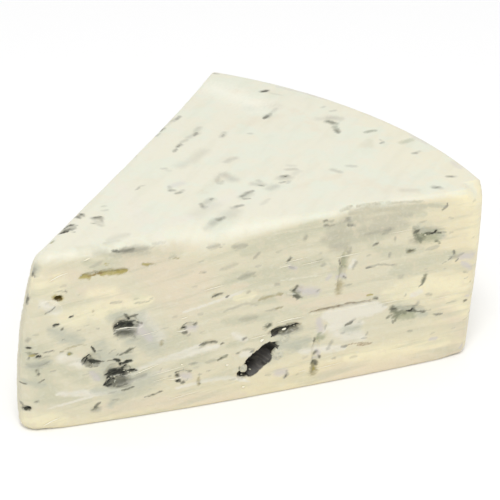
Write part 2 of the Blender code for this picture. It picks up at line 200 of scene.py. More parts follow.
# Marks on the front cut, by what they are. Each is a brush stroke: its width, then the points
# it runs through as reach from the wheel's centre and height above the foot, in millimetres.
FRONT_MARKS = {
    # Hollow: painted shade inside the cavity, over its dark mould, and the painted shadow under the arm's
    # upper lip.
    "hollow": (
        (0.7, (49.3, 5.0), (50.4, 5.2), (51.5, 5.9)), (0.6, (51.3, 5.9), (53.3, 7.2)),
        (0.5, (52.1, 10.6), (54.0, 11.7)), (0.6, (52.8, 7.1), (53.8, 7.8)), (0.8, (54.1, 8.3), (53.8, 7.6)),
        (0.4, (54.2, 12.7), (54.9, 13.2)), (0.4, (54.6, 8.9), (55.8, 10.5)),
        (0.9, (54.9, 13.2), (55.8, 13.3)), (0.5, (55.8, 13.4), (57.1, 13.5), (58.2, 13.6)),
        (0.3, (58.2, 13.7), (59.4, 13.9), (60.2, 14.4)),
    ),
    "ink": (
        (0.7, (5.8, 5.0), (6.7, 5.2)), (0.5, (7.1, 18.5), (7.7, 18.5)), (0.5, (8.6, 16.6), (9.3, 16.7)),
        (0.5, (12.2, 22.7), (13.0, 22.8)), (0.4, (15.2, 24.0), (16.0, 24.1)),
        (0.3, (17.2, 13.6), (18.1, 13.9)), (0.3, (17.0, 14.3), (17.7, 14.6), (18.7, 15.3)),
        (0.4, (17.6, 13.8), (18.4, 14.5)), (0.6, (18.3, 13.7), (20.0, 13.4)),
        (0.4, (18.9, 17.1), (19.4, 16.5), (19.6, 15.8)), (0.3, (18.3, 13.7), (19.3, 13.3), (20.6, 13.5)),
        (0.4, (21.2, 10.3), (22.3, 10.3)), (0.4, (21.3, 8.7), (22.4, 8.9)), (0.4, (21.5, 9.3), (22.4, 9.6)),
        (0.4, (21.4, 7.9), (22.6, 8.1)), (0.3, (21.1, 8.6), (22.1, 9.0), (22.9, 9.3)),
        (0.4, (20.8, 8.2), (21.9, 8.6), (23.4, 8.9)), (0.6, (23.1, 13.6), (24.1, 13.2)),
        (1.5, (22.4, 10.3), (24.9, 10.2)), (0.4, (23.2, 20.1), (24.2, 20.1)),
        (0.5, (23.7, 13.3), (24.1, 12.9)), (1.9, (23.0, 10.1), (24.9, 10.0)),
        (0.3, (24.7, 12.1), (25.5, 12.7)), (0.4, (24.9, 11.2), (25.5, 11.7)),
        (0.6, (24.2, 11.9), (25.0, 12.3), (25.8, 12.8), (26.8, 12.5)), (1.9, (24.6, 20.3), (26.8, 20.1)),
        (0.3, (26.3, 21.8), (26.6, 21.3)), (0.4, (26.4, 10.6), (26.8, 10.5)),
        (0.6, (25.9, 10.1), (26.8, 10.6), (27.5, 10.4)), (0.3, (35.1, 7.7), (35.5, 7.6)),
        (0.4, (35.2, 6.6), (35.7, 6.6)), (0.3, (36.8, 17.6), (37.2, 17.6)),
        (0.4, (82.8, 12.7), (83.9, 12.6), (84.3, 13.2)), (0.4, (87.4, 29.0), (88.3, 29.2), (88.6, 29.6)),
    ),
    "dusk": (
        (0.4, (5.5, 10.6), (6.0, 10.7), (6.7, 10.9)), (0.5, (7.9, 28.3), (7.7, 27.5)),
        (0.4, (8.3, 17.3), (9.1, 17.4)), (0.6, (8.5, 13.7), (8.9, 12.9)), (0.5, (9.1, 32.9), (9.2, 33.3)),
        (0.3, (8.8, 11.0), (9.4, 11.4), (9.9, 11.6)), (0.4, (13.5, 21.7), (13.8, 21.9)),
        (0.3, (13.5, 19.4), (14.3, 19.5)), (0.8, (17.3, 14.1), (18.8, 14.1)),
        (0.3, (18.6, 15.3), (19.1, 14.4), (18.8, 13.9)), (0.5, (19.1, 16.9), (19.7, 15.7)),
        (0.5, (18.9, 3.6), (19.5, 4.3), (20.3, 4.7)), (0.5, (19.1, 13.4), (20.4, 13.5)),
        (0.3, (20.5, 13.5), (21.4, 13.6)), (0.3, (21.1, 8.5), (21.6, 8.0)), (0.3, (22.2, 8.5), (23.0, 8.9)),
        (0.3, (22.0, 13.5), (23.0, 13.5), (23.8, 13.3)), (1.1, (21.8, 8.4), (23.5, 8.4), (25.2, 8.5)),
        (0.3, (23.4, 19.0), (24.3, 19.3)), (0.3, (23.4, 19.6), (24.4, 19.7)),
        (0.7, (22.8, 8.4), (25.0, 8.5)), (0.3, (22.6, 7.9), (23.9, 7.5), (25.6, 7.8)),
        (0.3, (23.7, 8.2), (24.5, 8.5)), (0.5, (24.1, 12.8), (24.5, 11.6)),
        (0.5, (23.8, 36.1), (25.2, 35.9)), (0.3, (24.2, 18.6), (24.9, 18.8)),
        (0.3, (23.6, 14.5), (24.7, 14.5), (25.5, 14.7)), (0.6, (24.2, 18.9), (26.5, 18.7)),
        (0.5, (24.3, 11.9), (25.0, 12.4), (25.6, 12.8), (26.7, 12.5)),
        (0.4, (24.2, 6.5), (25.6, 6.7), (26.8, 7.1)), (0.3, (25.4, 18.5), (26.2, 18.8)),
        (0.5, (25.5, 14.8), (26.4, 15.2)), (0.4, (25.5, 23.0), (26.1, 22.5), (26.5, 21.4)),
        (0.6, (25.7, 22.8), (26.4, 21.6), (26.2, 21.4)), (0.3, (26.0, 11.5), (26.3, 10.9)),
        (0.4, (26.6, 10.5), (27.6, 10.3)), (0.5, (26.4, 21.6), (27.2, 22.2), (28.1, 22.3)),
        (0.4, (26.5, 21.8), (27.4, 22.3), (28.4, 22.2)), (0.3, (27.4, 22.1), (27.9, 21.4)),
        (0.4, (27.9, 20.8), (28.3, 20.5), (29.0, 20.3)), (0.4, (28.6, 4.3), (30.5, 4.5), (32.3, 5.1)),
        (0.7, (35.0, 7.9), (35.6, 7.6)), (0.4, (35.0, 8.7), (35.7, 8.6)), (0.5, (35.0, 6.7), (35.8, 6.6)),
        (0.5, (36.1, 6.1), (36.6, 6.2)), (0.6, (36.6, 17.8), (37.3, 17.7)),
        (0.4, (36.8, 18.4), (37.4, 18.8)), (0.5, (36.7, 16.8), (37.5, 16.8)),
        (0.3, (39.6, 5.3), (39.7, 5.2)), (0.6, (39.8, 13.6), (41.5, 13.7), (43.3, 13.9)),
        (0.5, (42.7, 23.4), (44.7, 23.8)), (0.3, (43.2, 9.7), (44.3, 10.1)),
        (0.4, (44.1, 13.1), (44.5, 13.3)), (0.4, (45.4, 23.0), (45.8, 23.2)),
        (0.3, (47.5, 7.6), (48.4, 5.1), (48.7, 4.8)), (0.4, (53.4, 15.1), (54.0, 15.6)),
        (0.6, (57.7, 28.4), (58.3, 29.1)), (0.7, (59.0, 21.8), (59.6, 22.7)),
        (0.6, (58.9, 20.8), (60.1, 20.2)), (0.4, (60.1, 20.3), (60.7, 20.1)),
        (0.6, (63.2, 11.0), (63.2, 9.7)), (0.6, (62.8, 5.4), (63.8, 5.3)), (0.5, (63.5, 4.9), (63.5, 4.7)),
        (0.5, (64.2, 6.6), (64.3, 6.2)), (0.6, (69.5, 12.3), (71.2, 12.9)),
        (0.6, (75.6, 17.2), (76.2, 17.1)), (0.7, (79.5, 14.0), (80.3, 13.9)),
        (0.4, (82.5, 26.3), (83.6, 26.4)), (0.5, (83.7, 12.5), (84.5, 12.9)),
        (0.6, (83.8, 30.1), (84.7, 30.1)), (0.4, (84.1, 12.7), (85.3, 12.3)),
        (0.4, (85.5, 12.3), (86.9, 12.2)), (0.5, (86.6, 29.2), (87.5, 29.1)),
        (0.3, (88.5, 29.2), (89.5, 29.0)), (0.5, (95.2, 12.7), (95.7, 12.8)),
    ),
    "moss": (
        (0.6, (6.8, 17.3), (8.6, 17.2)), (0.4, (7.7, 17.2), (9.0, 17.3)), (0.5, (14.6, 16.4), (15.0, 16.4)),
        (0.6, (18.7, 3.4), (19.5, 3.7)), (0.8, (25.5, 14.5), (26.3, 15.0), (27.1, 15.3)),
        (0.8, (43.5, 9.8), (44.4, 10.1), (45.5, 10.4)), (1.1, (53.3, 15.2), (53.9, 15.4)),
        (1.2, (58.9, 21.9), (59.6, 20.8)), (0.9, (63.0, 4.5), (62.9, 3.3)), (1.0, (63.1, 4.9), (63.0, 3.9)),
        (0.5, (78.3, 12.4), (79.5, 12.8)), (1.2, (79.6, 14.1), (80.7, 13.0)),
        (0.5, (80.2, 11.4), (80.5, 12.2)), (1.0, (79.9, 12.5), (81.4, 12.7)),
        (0.8, (81.4, 12.7), (83.0, 12.6)), (0.8, (82.3, 26.3), (83.7, 26.4)),
        (1.2, (84.0, 30.7), (84.4, 29.1)), (0.4, (84.7, 28.7), (85.2, 27.6)),
        (1.0, (84.3, 28.8), (85.9, 28.8)), (0.8, (86.4, 20.4), (85.9, 19.0)),
        (0.6, (86.2, 29.2), (87.5, 29.1)), (0.5, (88.4, 27.6), (89.1, 27.0)),
    ),
    "brown": (
        (0.7, (13.0, 28.1), (13.8, 28.1)),
    ),
    "grey": (
        (0.6, (7.1, 19.8), (7.5, 20.5)), (0.6, (7.6, 27.0), (8.1, 29.1)), (0.4, (8.3, 13.4), (8.7, 13.7)),
        (0.6, (9.3, 33.2), (9.5, 34.2)), (0.4, (8.8, 14.6), (10.9, 15.2)), (0.3, (9.6, 26.8), (10.2, 27.8)),
        (0.4, (8.9, 16.2), (11.1, 16.5)), (0.3, (12.7, 29.8), (14.1, 29.7), (15.0, 29.2)),
        (1.0, (18.7, 3.2), (19.8, 3.2)), (0.3, (20.2, 20.8), (20.6, 20.7)),
        (0.3, (21.5, 6.2), (22.7, 6.5), (23.4, 6.7)), (0.3, (22.2, 15.0), (22.9, 15.6), (23.8, 15.9)),
        (0.6, (22.9, 25.6), (25.2, 25.6)), (0.3, (23.3, 7.2), (25.0, 7.3), (26.0, 7.4)),
        (0.3, (24.5, 23.1), (25.5, 23.0)), (0.7, (24.1, 19.2), (26.9, 18.7)),
        (0.3, (26.4, 15.2), (27.5, 15.5)), (1.0, (24.4, 35.9), (30.7, 35.5)),
        (1.0, (26.2, 8.5), (29.2, 9.3)), (0.4, (27.4, 24.8), (30.5, 24.7)),
        (0.3, (31.9, 9.6), (32.3, 10.0)), (0.3, (33.6, 7.9), (34.1, 8.0)),
        (0.3, (35.4, 18.0), (35.9, 18.0)), (0.3, (35.8, 8.7), (37.5, 8.4)), (0.3, (36.8, 6.3), (37.5, 6.7)),
        (0.4, (37.7, 16.2), (38.1, 16.4)), (0.3, (37.5, 18.9), (38.9, 18.8)),
        (0.8, (42.0, 33.7), (44.5, 33.9)), (1.1, (46.8, 33.3), (49.7, 33.1)),
        (1.1, (47.8, 26.5), (51.0, 27.2)), (0.5, (48.1, 11.0), (49.3, 11.1), (50.9, 10.7)),
        (0.6, (49.6, 23.2), (50.0, 23.4)), (0.8, (50.8, 30.1), (52.2, 31.3)),
        (0.5, (53.2, 18.6), (55.0, 18.6), (56.6, 18.9)), (0.6, (55.3, 23.9), (55.9, 23.9)),
        (0.7, (57.4, 4.7), (57.5, 3.9), (56.9, 2.9)), (0.6, (58.0, 27.3), (59.1, 26.6)),
        (1.4, (57.3, 13.1), (60.0, 13.5)), (0.8, (61.2, 32.6), (61.5, 33.3)),
        (0.4, (63.7, 20.9), (64.1, 21.2)), (0.6, (64.6, 26.4), (65.2, 26.5)),
        (0.4, (65.7, 13.3), (65.3, 12.2)), (0.8, (66.0, 8.0), (66.8, 9.2)),
        (0.5, (65.8, 35.5), (67.0, 35.5)), (0.4, (66.0, 34.4), (67.2, 34.5)),
        (0.4, (68.8, 10.7), (69.5, 10.8)), (0.8, (70.1, 34.9), (70.6, 34.4)),
        (0.7, (70.7, 29.2), (70.1, 27.8)), (0.5, (70.7, 13.1), (71.6, 13.3)),
        (0.7, (71.0, 24.7), (71.6, 25.7)), (0.4, (70.9, 33.5), (71.7, 33.1)),
        (0.5, (73.7, 26.8), (74.7, 26.9)), (0.5, (74.1, 9.4), (74.4, 9.8)),
        (0.5, (73.7, 24.2), (75.0, 24.3), (76.4, 24.7)), (0.4, (76.0, 24.6), (79.8, 23.8)),
        (0.8, (77.0, 30.8), (78.9, 31.5)), (0.5, (78.6, 25.9), (78.7, 26.6)),
        (0.5, (79.7, 29.0), (79.7, 29.7)), (0.4, (82.1, 16.6), (82.3, 16.9)),
        (0.5, (83.3, 8.3), (83.9, 8.2)), (0.7, (84.4, 13.6), (85.0, 14.4)),
        (0.6, (86.8, 15.9), (87.8, 15.8)), (0.4, (86.9, 12.3), (88.2, 12.3)),
        (0.4, (89.5, 29.1), (90.8, 29.0)), (0.3, (89.8, 22.2), (91.1, 22.7)),
        (1.0, (91.8, 23.4), (93.1, 23.2)), (0.5, (93.1, 23.3), (94.6, 23.7)),
        (0.5, (94.6, 19.4), (95.9, 19.2)), (0.4, (96.3, 26.9), (96.6, 27.0)),
    ),
    "smudge": (
        (1.2, (6.8, 15.0), (8.4, 14.7), (10.7, 15.2)), (0.8, (19.5, 33.6), (21.8, 34.5)),
        (1.2, (20.7, 36.2), (22.6, 36.1)), (0.5, (26.4, 17.2), (28.3, 17.1)),
        (1.0, (25.6, 36.0), (28.4, 35.9), (31.1, 35.6)), (0.6, (29.2, 32.6), (31.1, 32.5)),
        (0.4, (31.6, 36.0), (34.4, 35.8)), (0.5, (34.3, 33.1), (35.8, 33.1)),
        (0.4, (38.5, 26.2), (39.9, 26.2)), (0.8, (41.0, 9.6), (43.2, 9.9)),
        (0.8, (44.2, 29.0), (47.8, 29.7)), (0.6, (44.8, 19.8), (46.2, 20.4), (49.5, 21.0), (51.6, 20.1)),
        (1.5, (48.0, 17.7), (51.4, 17.6)), (0.5, (52.9, 4.5), (54.2, 4.4)), (0.5, (60.8, 6.8), (61.6, 7.0)),
        (1.9, (66.9, 29.9), (69.3, 29.4)), (0.7, (68.8, 25.0), (68.6, 23.7)),
        (0.7, (73.5, 31.2), (76.5, 31.4), (79.6, 31.7)), (0.8, (80.9, 20.9), (81.5, 20.9)),
        (1.2, (83.0, 28.5), (84.9, 28.3)), (0.5, (91.0, 32.1), (92.1, 31.8)),
    ),
    "haze": (
        (1.5, (5.9, 11.4), (9.9, 10.4)), (1.9, (6.7, 14.3), (11.1, 15.3)), (1.2, (9.3, 33.6), (9.9, 34.9)),
        (2.5, (11.4, 22.1), (16.9, 18.4)), (1.3, (13.2, 19.4), (17.8, 18.8)),
        (1.4, (18.8, 11.7), (20.3, 10.1)), (1.4, (19.6, 11.0), (20.9, 9.8)),
        (1.7, (20.0, 16.9), (21.2, 17.5)), (3.8, (20.8, 15.6), (21.6, 12.4)),
        (1.9, (18.7, 7.5), (25.2, 6.8)), (1.3, (22.1, 3.6), (22.6, 4.8)), (1.7, (22.1, 6.9), (24.8, 5.9)),
        (2.4, (22.4, 14.5), (25.7, 13.7)), (2.1, (23.2, 22.7), (25.5, 22.7)),
        (3.6, (23.6, 6.4), (29.9, 8.0)), (2.8, (25.9, 9.9), (28.4, 8.1)), (1.9, (26.0, 16.9), (28.7, 17.5)),
        (2.1, (26.2, 8.5), (29.4, 9.3)), (2.1, (28.5, 21.8), (28.0, 19.5)),
        (3.5, (26.4, 18.8), (31.0, 15.0)), (3.5, (28.1, 20.7), (30.6, 16.0)),
        (2.1, (28.8, 20.7), (30.3, 17.8)), (3.0, (54.0, 9.0), (57.0, 12.0)),
        (1.7, (56.3, 10.6), (60.2, 9.1)), (1.8, (57.4, 10.4), (62.5, 10.6)),
        (1.6, (69.6, 11.4), (72.2, 11.4)), (2.2, (80.0, 14.5), (87.0, 11.5)),
        (2.4, (84.0, 31.0), (90.0, 28.4)),
    ),
    "lilac": (
        (1.2, (18.5, 11.7), (20.1, 9.6)), (1.2, (27.8, 18.5), (28.6, 19.9)),
        (1.4, (28.6, 19.0), (30.2, 17.0)), (1.3, (36.2, 7.4), (37.6, 7.2)),
        (1.3, (37.7, 17.5), (39.0, 17.6)), (1.4, (55.4, 4.4), (56.9, 4.5)),
        (0.8, (58.1, 27.3), (59.3, 26.6)), (1.7, (60.3, 21.7), (63.4, 20.9)),
        (0.6, (62.8, 6.1), (63.7, 6.1)), (0.8, (63.9, 7.6), (64.0, 6.8)), (1.4, (64.1, 14.4), (64.5, 12.3)),
        (0.8, (65.8, 23.3), (66.3, 23.8)), (0.8, (67.8, 23.3), (69.3, 23.1)),
        (0.8, (88.3, 5.5), (89.4, 5.3)), (1.4, (94.0, 23.0), (96.6, 22.9)), (0.6, (95.0, 1.6), (95.7, 2.6)),
        (1.2, (94.3, 21.8), (96.6, 19.9)), (0.6, (95.8, 13.9), (96.3, 13.8)),
    ),
    "olive": (
        (0.4, (6.9, 16.9), (8.1, 16.9)), (0.4, (7.5, 16.6), (8.2, 17.2)), (0.9, (12.6, 28.6), (14.0, 28.1)),
        (0.3, (14.7, 16.4), (14.9, 16.2)), (0.9, (18.0, 32.0), (19.2, 31.8)),
        (0.3, (19.1, 31.9), (20.8, 32.0), (22.2, 31.9)), (0.4, (22.2, 33.8), (23.1, 33.8)),
        (0.7, (21.4, 31.9), (24.7, 31.8)), (0.9, (23.9, 31.8), (24.9, 31.7), (26.4, 31.8)),
        (0.5, (29.4, 32.6), (30.8, 32.5)), (0.4, (63.2, 4.3), (63.0, 3.4)),
        (0.4, (73.9, 18.1), (75.3, 18.2)),
    ),
    "tan": (
        (0.3, (13.1, 17.0), (14.2, 17.4), (15.4, 17.7), (16.9, 17.8), (18.4, 17.7)),
        (0.4, (19.6, 24.4), (19.8, 24.6)), (0.4, (24.5, 31.7), (25.7, 31.7)),
        (0.4, (29.9, 32.4), (32.0, 32.3)), (0.6, (32.3, 15.2), (32.5, 15.8)),
        (0.3, (34.3, 32.9), (36.6, 32.7)), (0.8, (39.4, 6.8), (39.5, 4.9)),
        (0.6, (51.8, 21.3), (55.4, 21.7), (56.7, 21.7)), (0.5, (55.0, 18.7), (56.7, 18.9)),
        (1.5, (63.2, 4.9), (62.9, 2.9)), (1.4, (68.4, 21.5), (68.1, 20.1)),
        (0.5, (82.4, 26.2), (83.6, 26.4)), (0.4, (96.3, 17.0), (96.5, 17.0)),
    ),
    "green": (
        (0.6, (14.7, 16.3), (15.1, 16.2)), (0.5, (63.7, 11.5), (64.7, 11.6)),
        (1.4, (63.9, 10.6), (64.7, 10.7)), (1.3, (69.2, 27.1), (69.2, 25.3)),
        (1.7, (80.8, 12.3), (83.9, 11.8)), (1.9, (85.0, 28.7), (88.3, 28.4)),
    ),
    "white": (
        (1.1, (48.4, 9.9), (49.8, 10.0)), (2.8, (65.4, 15.3), (69.4, 15.2), (76.8, 15.2)),
        (0.8, (70.6, 25.0), (71.2, 26.2)), (1.7, (66.3, 13.8), (70.5, 13.9), (78.0, 14.8)),
    ),
    "pale": (
        (0.3, (9.5, 26.6), (10.3, 27.8), (11.6, 28.1), (12.9, 27.5), (13.8, 26.4), (13.9, 25.2)),
        (0.3, (12.0, 27.7), (13.0, 26.7)),
        (0.3, (21.5, 8.9), (23.0, 9.5), (25.3, 9.2), (27.7, 10.1), (30.0, 10.4)),
        (0.3, (23.2, 19.3), (24.7, 19.5), (27.2, 19.2), (29.6, 19.9)), (0.3, (56.0, 27.5), (58.3, 27.6)),
        (0.3, (57.4, 21.6), (59.3, 21.2)), (0.3, (56.0, 24.6), (64.7, 24.3)),
    ),
    "line": (
        (0.3, (19.1, 31.9), (20.8, 32.0), (22.2, 31.9)),
        (0.4, (61.9, 16.6), (64.2, 16.6), (67.7, 16.6), (69.9, 16.8), (75.4, 17.0)),
        (0.3, (70.1, 7.8), (71.3, 8.0), (75.0, 7.4)), (0.3, (72.1, 7.3), (75.9, 7.1)),
    ),
    # Drab: duller paste near the mould, and painted shade in the band under the top edge.
    "drab_and_shade": (
        (5.5, (7.6, 17.8), (10.7, 8.1)), (3.0, (8.2, 6.9), (18.8, 6.6)), (3.0, (12.8, 13.7), (17.8, 9.7)),
        (2.1, (18.5, 34.9), (23.3, 32.9)), (1.4, (22.0, 26.4), (29.8, 25.7)),
        (2.1, (22.0, 34.4), (30.8, 32.2)), (5.0, (22.8, 35.0), (29.0, 34.4), (36.3, 33.8)),
        (5.5, (30.8, 17.8), (39.2, 11.7)), (1.7, (45.5, 12.4), (49.5, 13.0)),
        (2.1, (44.5, 17.9), (52.6, 17.3)), (2.1, (50.0, 17.7), (54.6, 16.6)),
        (4.2, (45.5, 26.3), (65.6, 27.0)), (2.4, (50.8, 21.2), (63.9, 20.8)),
        (2.8, (48.7, 31.6), (58.1, 33.4), (68.9, 34.3)), (1.4, (58.4, 10.0), (62.4, 10.4)),
        (1.9, (60.2, 9.6), (62.3, 8.3)), (1.9, (60.2, 35.4), (65.0, 35.4)),
        (1.9, (65.9, 26.7), (69.4, 22.6)), (4.2, (67.2, 32.6), (77.1, 30.5)),
        (2.1, (74.6, 29.0), (77.8, 27.0)), (2.8, (76.6, 27.4), (85.4, 26.1)),
        (1.7, (80.8, 34.1), (86.1, 33.5)), (3.4, (79.4, 22.4), (92.1, 23.9)),
    ),
    "beige": (
        (3.4, (8.9, 32.7), (17.7, 32.4)), (3.4, (17.4, 29.4), (26.7, 25.7)),
        (6.4, (28.3, 33.3), (39.6, 27.3)), (6.4, (32.0, 30.7), (36.8, 22.9)),
        (3.0, (20.6, 3.4), (48.3, 1.1)), (1.9, (33.0, 35.0), (40.3, 34.3)),
        (1.3, (46.3, 25.1), (49.6, 24.9)), (1.7, (55.4, 21.3), (60.1, 19.1)),
        (2.2, (60.5, 17.9), (74.0, 18.6)), (6.4, (65.8, 1.6), (95.1, 1.3)),
        (4.2, (90.4, 15.2), (95.5, 4.9)),
    ),
    "butter": (
        (4.0, (5.0, 2.5), (13.0, 2.2)), (4.6, (8.0, 32.2), (13.0, 31.4)), (5.0, (15.0, 24.0), (22.0, 24.5)),
        (2.5, (19.2, 28.1), (23.6, 27.9)), (3.4, (19.9, 24.6), (30.5, 25.1)),
        (2.0, (47.0, 22.4), (51.0, 22.6)), (3.5, (70.0, 5.0), (92.0, 4.0)),
        (5.0, (78.0, 18.0), (96.0, 17.0)), (4.0, (92.0, 14.0), (97.0, 10.0)),
        (5.5, (93.5, 37.0), (99.0, 34.0)), (4.5, (97.0, 34.0), (98.5, 24.0)),
    ),
    "shade": (
        (1.4, (23.4, 35.5), (31.0, 34.7)), (4.6, (65.0, 31.8), (71.0, 32.4), (82.0, 32.2)),
        (1.0, (72.0, 36.2), (76.5, 36.5)), (2.4, (66.0, 34.2), (83.0, 33.9)),
        (1.9, (70.7, 35.9), (75.7, 35.8), (80.8, 35.4), (86.0, 35.0)),
        (0.5, (72.2, 36.9), (76.0, 36.8), (81.0, 36.5), (86.0, 36.2)), (1.7, (78.3, 32.9), (81.0, 33.5)),
        (0.7, (86.1, 25.9), (89.2, 26.3)), (0.7, (86.6, 35.3), (90.3, 34.3)),
    ),
    "mist": (
        (1.7, (10.4, 27.5), (12.9, 25.6)), (2.1, (13.5, 15.6), (16.7, 13.8)),
        (0.6, (10.0, 5.0), (18.0, 6.2), (24.0, 7.0)), (1.4, (12.0, 7.9), (24.0, 6.4)),
        (1.0, (24.0, 7.8), (34.0, 9.6)), (3.8, (29.0, 20.7), (31.5, 16.8)),
        (1.0, (27.0, 10.4), (33.0, 12.0), (41.0, 14.0)), (1.3, (32.9, 11.6), (43.8, 12.9)),
        (0.6, (36.7, 21.3), (41.1, 22.0), (49.5, 23.8)),
        (0.8, (34.7, 5.1), (40.7, 5.7), (45.7, 5.5), (49.8, 3.7)), (1.7, (46.5, 15.0), (49.3, 12.9)),
        (0.8, (64.3, 11.1), (65.3, 12.0)), (1.7, (60.1, 8.4), (69.6, 7.4)),
        (2.5, (66.4, 12.0), (73.1, 12.1)), (3.8, (66.3, 12.5), (73.4, 8.9)),
        (1.2, (83.8, 16.4), (85.6, 16.8)),
    ),
    "slate": (
        (0.5, (5.4, 6.2), (5.7, 5.7)), (0.4, (7.0, 16.1), (7.3, 16.6)), (0.4, (7.8, 6.9), (8.5, 6.8)),
        (0.4, (8.5, 12.6), (8.6, 12.5)), (0.3, (9.5, 17.3), (10.6, 17.3), (12.0, 17.5)),
        (0.3, (10.7, 25.4), (11.9, 26.0), (12.7, 26.7)), (0.3, (14.8, 29.6), (15.0, 29.4)),
        (0.6, (17.5, 13.2), (20.0, 12.7)), (1.2, (17.6, 13.7), (20.3, 13.3)),
        (0.7, (22.4, 8.9), (25.1, 8.7)), (2.0, (22.7, 8.5), (25.2, 8.3)), (1.6, (24.2, 18.9), (27.0, 18.6)),
        (0.8, (25.2, 35.9), (28.0, 35.8)), (0.3, (26.6, 18.0), (27.7, 17.7)),
        (0.6, (37.6, 8.3), (38.0, 8.3)), (0.5, (38.9, 18.3), (39.3, 18.5)),
        (0.4, (47.1, 10.4), (48.0, 10.7)), (0.5, (48.5, 13.2), (49.1, 13.5)),
        (0.5, (49.9, 10.2), (50.9, 10.5)), (0.3, (57.4, 4.1), (57.0, 3.0)),
        (0.5, (56.1, 12.9), (58.5, 13.1)), (0.8, (58.1, 13.3), (59.8, 13.7)),
        (0.5, (63.2, 7.0), (63.7, 7.5)), (0.5, (65.1, 35.6), (65.6, 35.6)),
        (0.5, (65.2, 34.7), (65.8, 34.6)), (0.5, (68.2, 27.1), (68.4, 25.7)),
        (0.4, (69.3, 23.0), (69.5, 22.9)), (0.5, (68.8, 7.7), (70.1, 7.8)),
        (0.5, (70.3, 33.6), (71.0, 33.5)), (0.4, (73.8, 24.2), (74.8, 24.3)),
        (0.5, (75.3, 28.9), (76.1, 29.2)), (0.4, (79.7, 11.6), (79.9, 10.7)),
        (0.4, (86.4, 20.0), (85.8, 18.6), (85.0, 18.0)), (0.4, (88.5, 11.1), (90.7, 10.7)),
        (0.4, (90.7, 35.1), (90.6, 34.4), (89.5, 33.8)), (0.3, (91.2, 22.8), (92.0, 23.5)),
        (0.5, (92.2, 24.8), (92.5, 23.8)), (0.3, (92.7, 22.1), (93.4, 22.8)),
    ),
    "veil": (
        (1.0, (49.8, 5.2), (51.1, 5.7), (52.4, 6.5)), (0.4, (52.2, 6.9), (53.6, 7.8)),
        (0.9, (51.8, 6.9), (53.3, 8.0), (54.3, 8.7)),
    ),
}
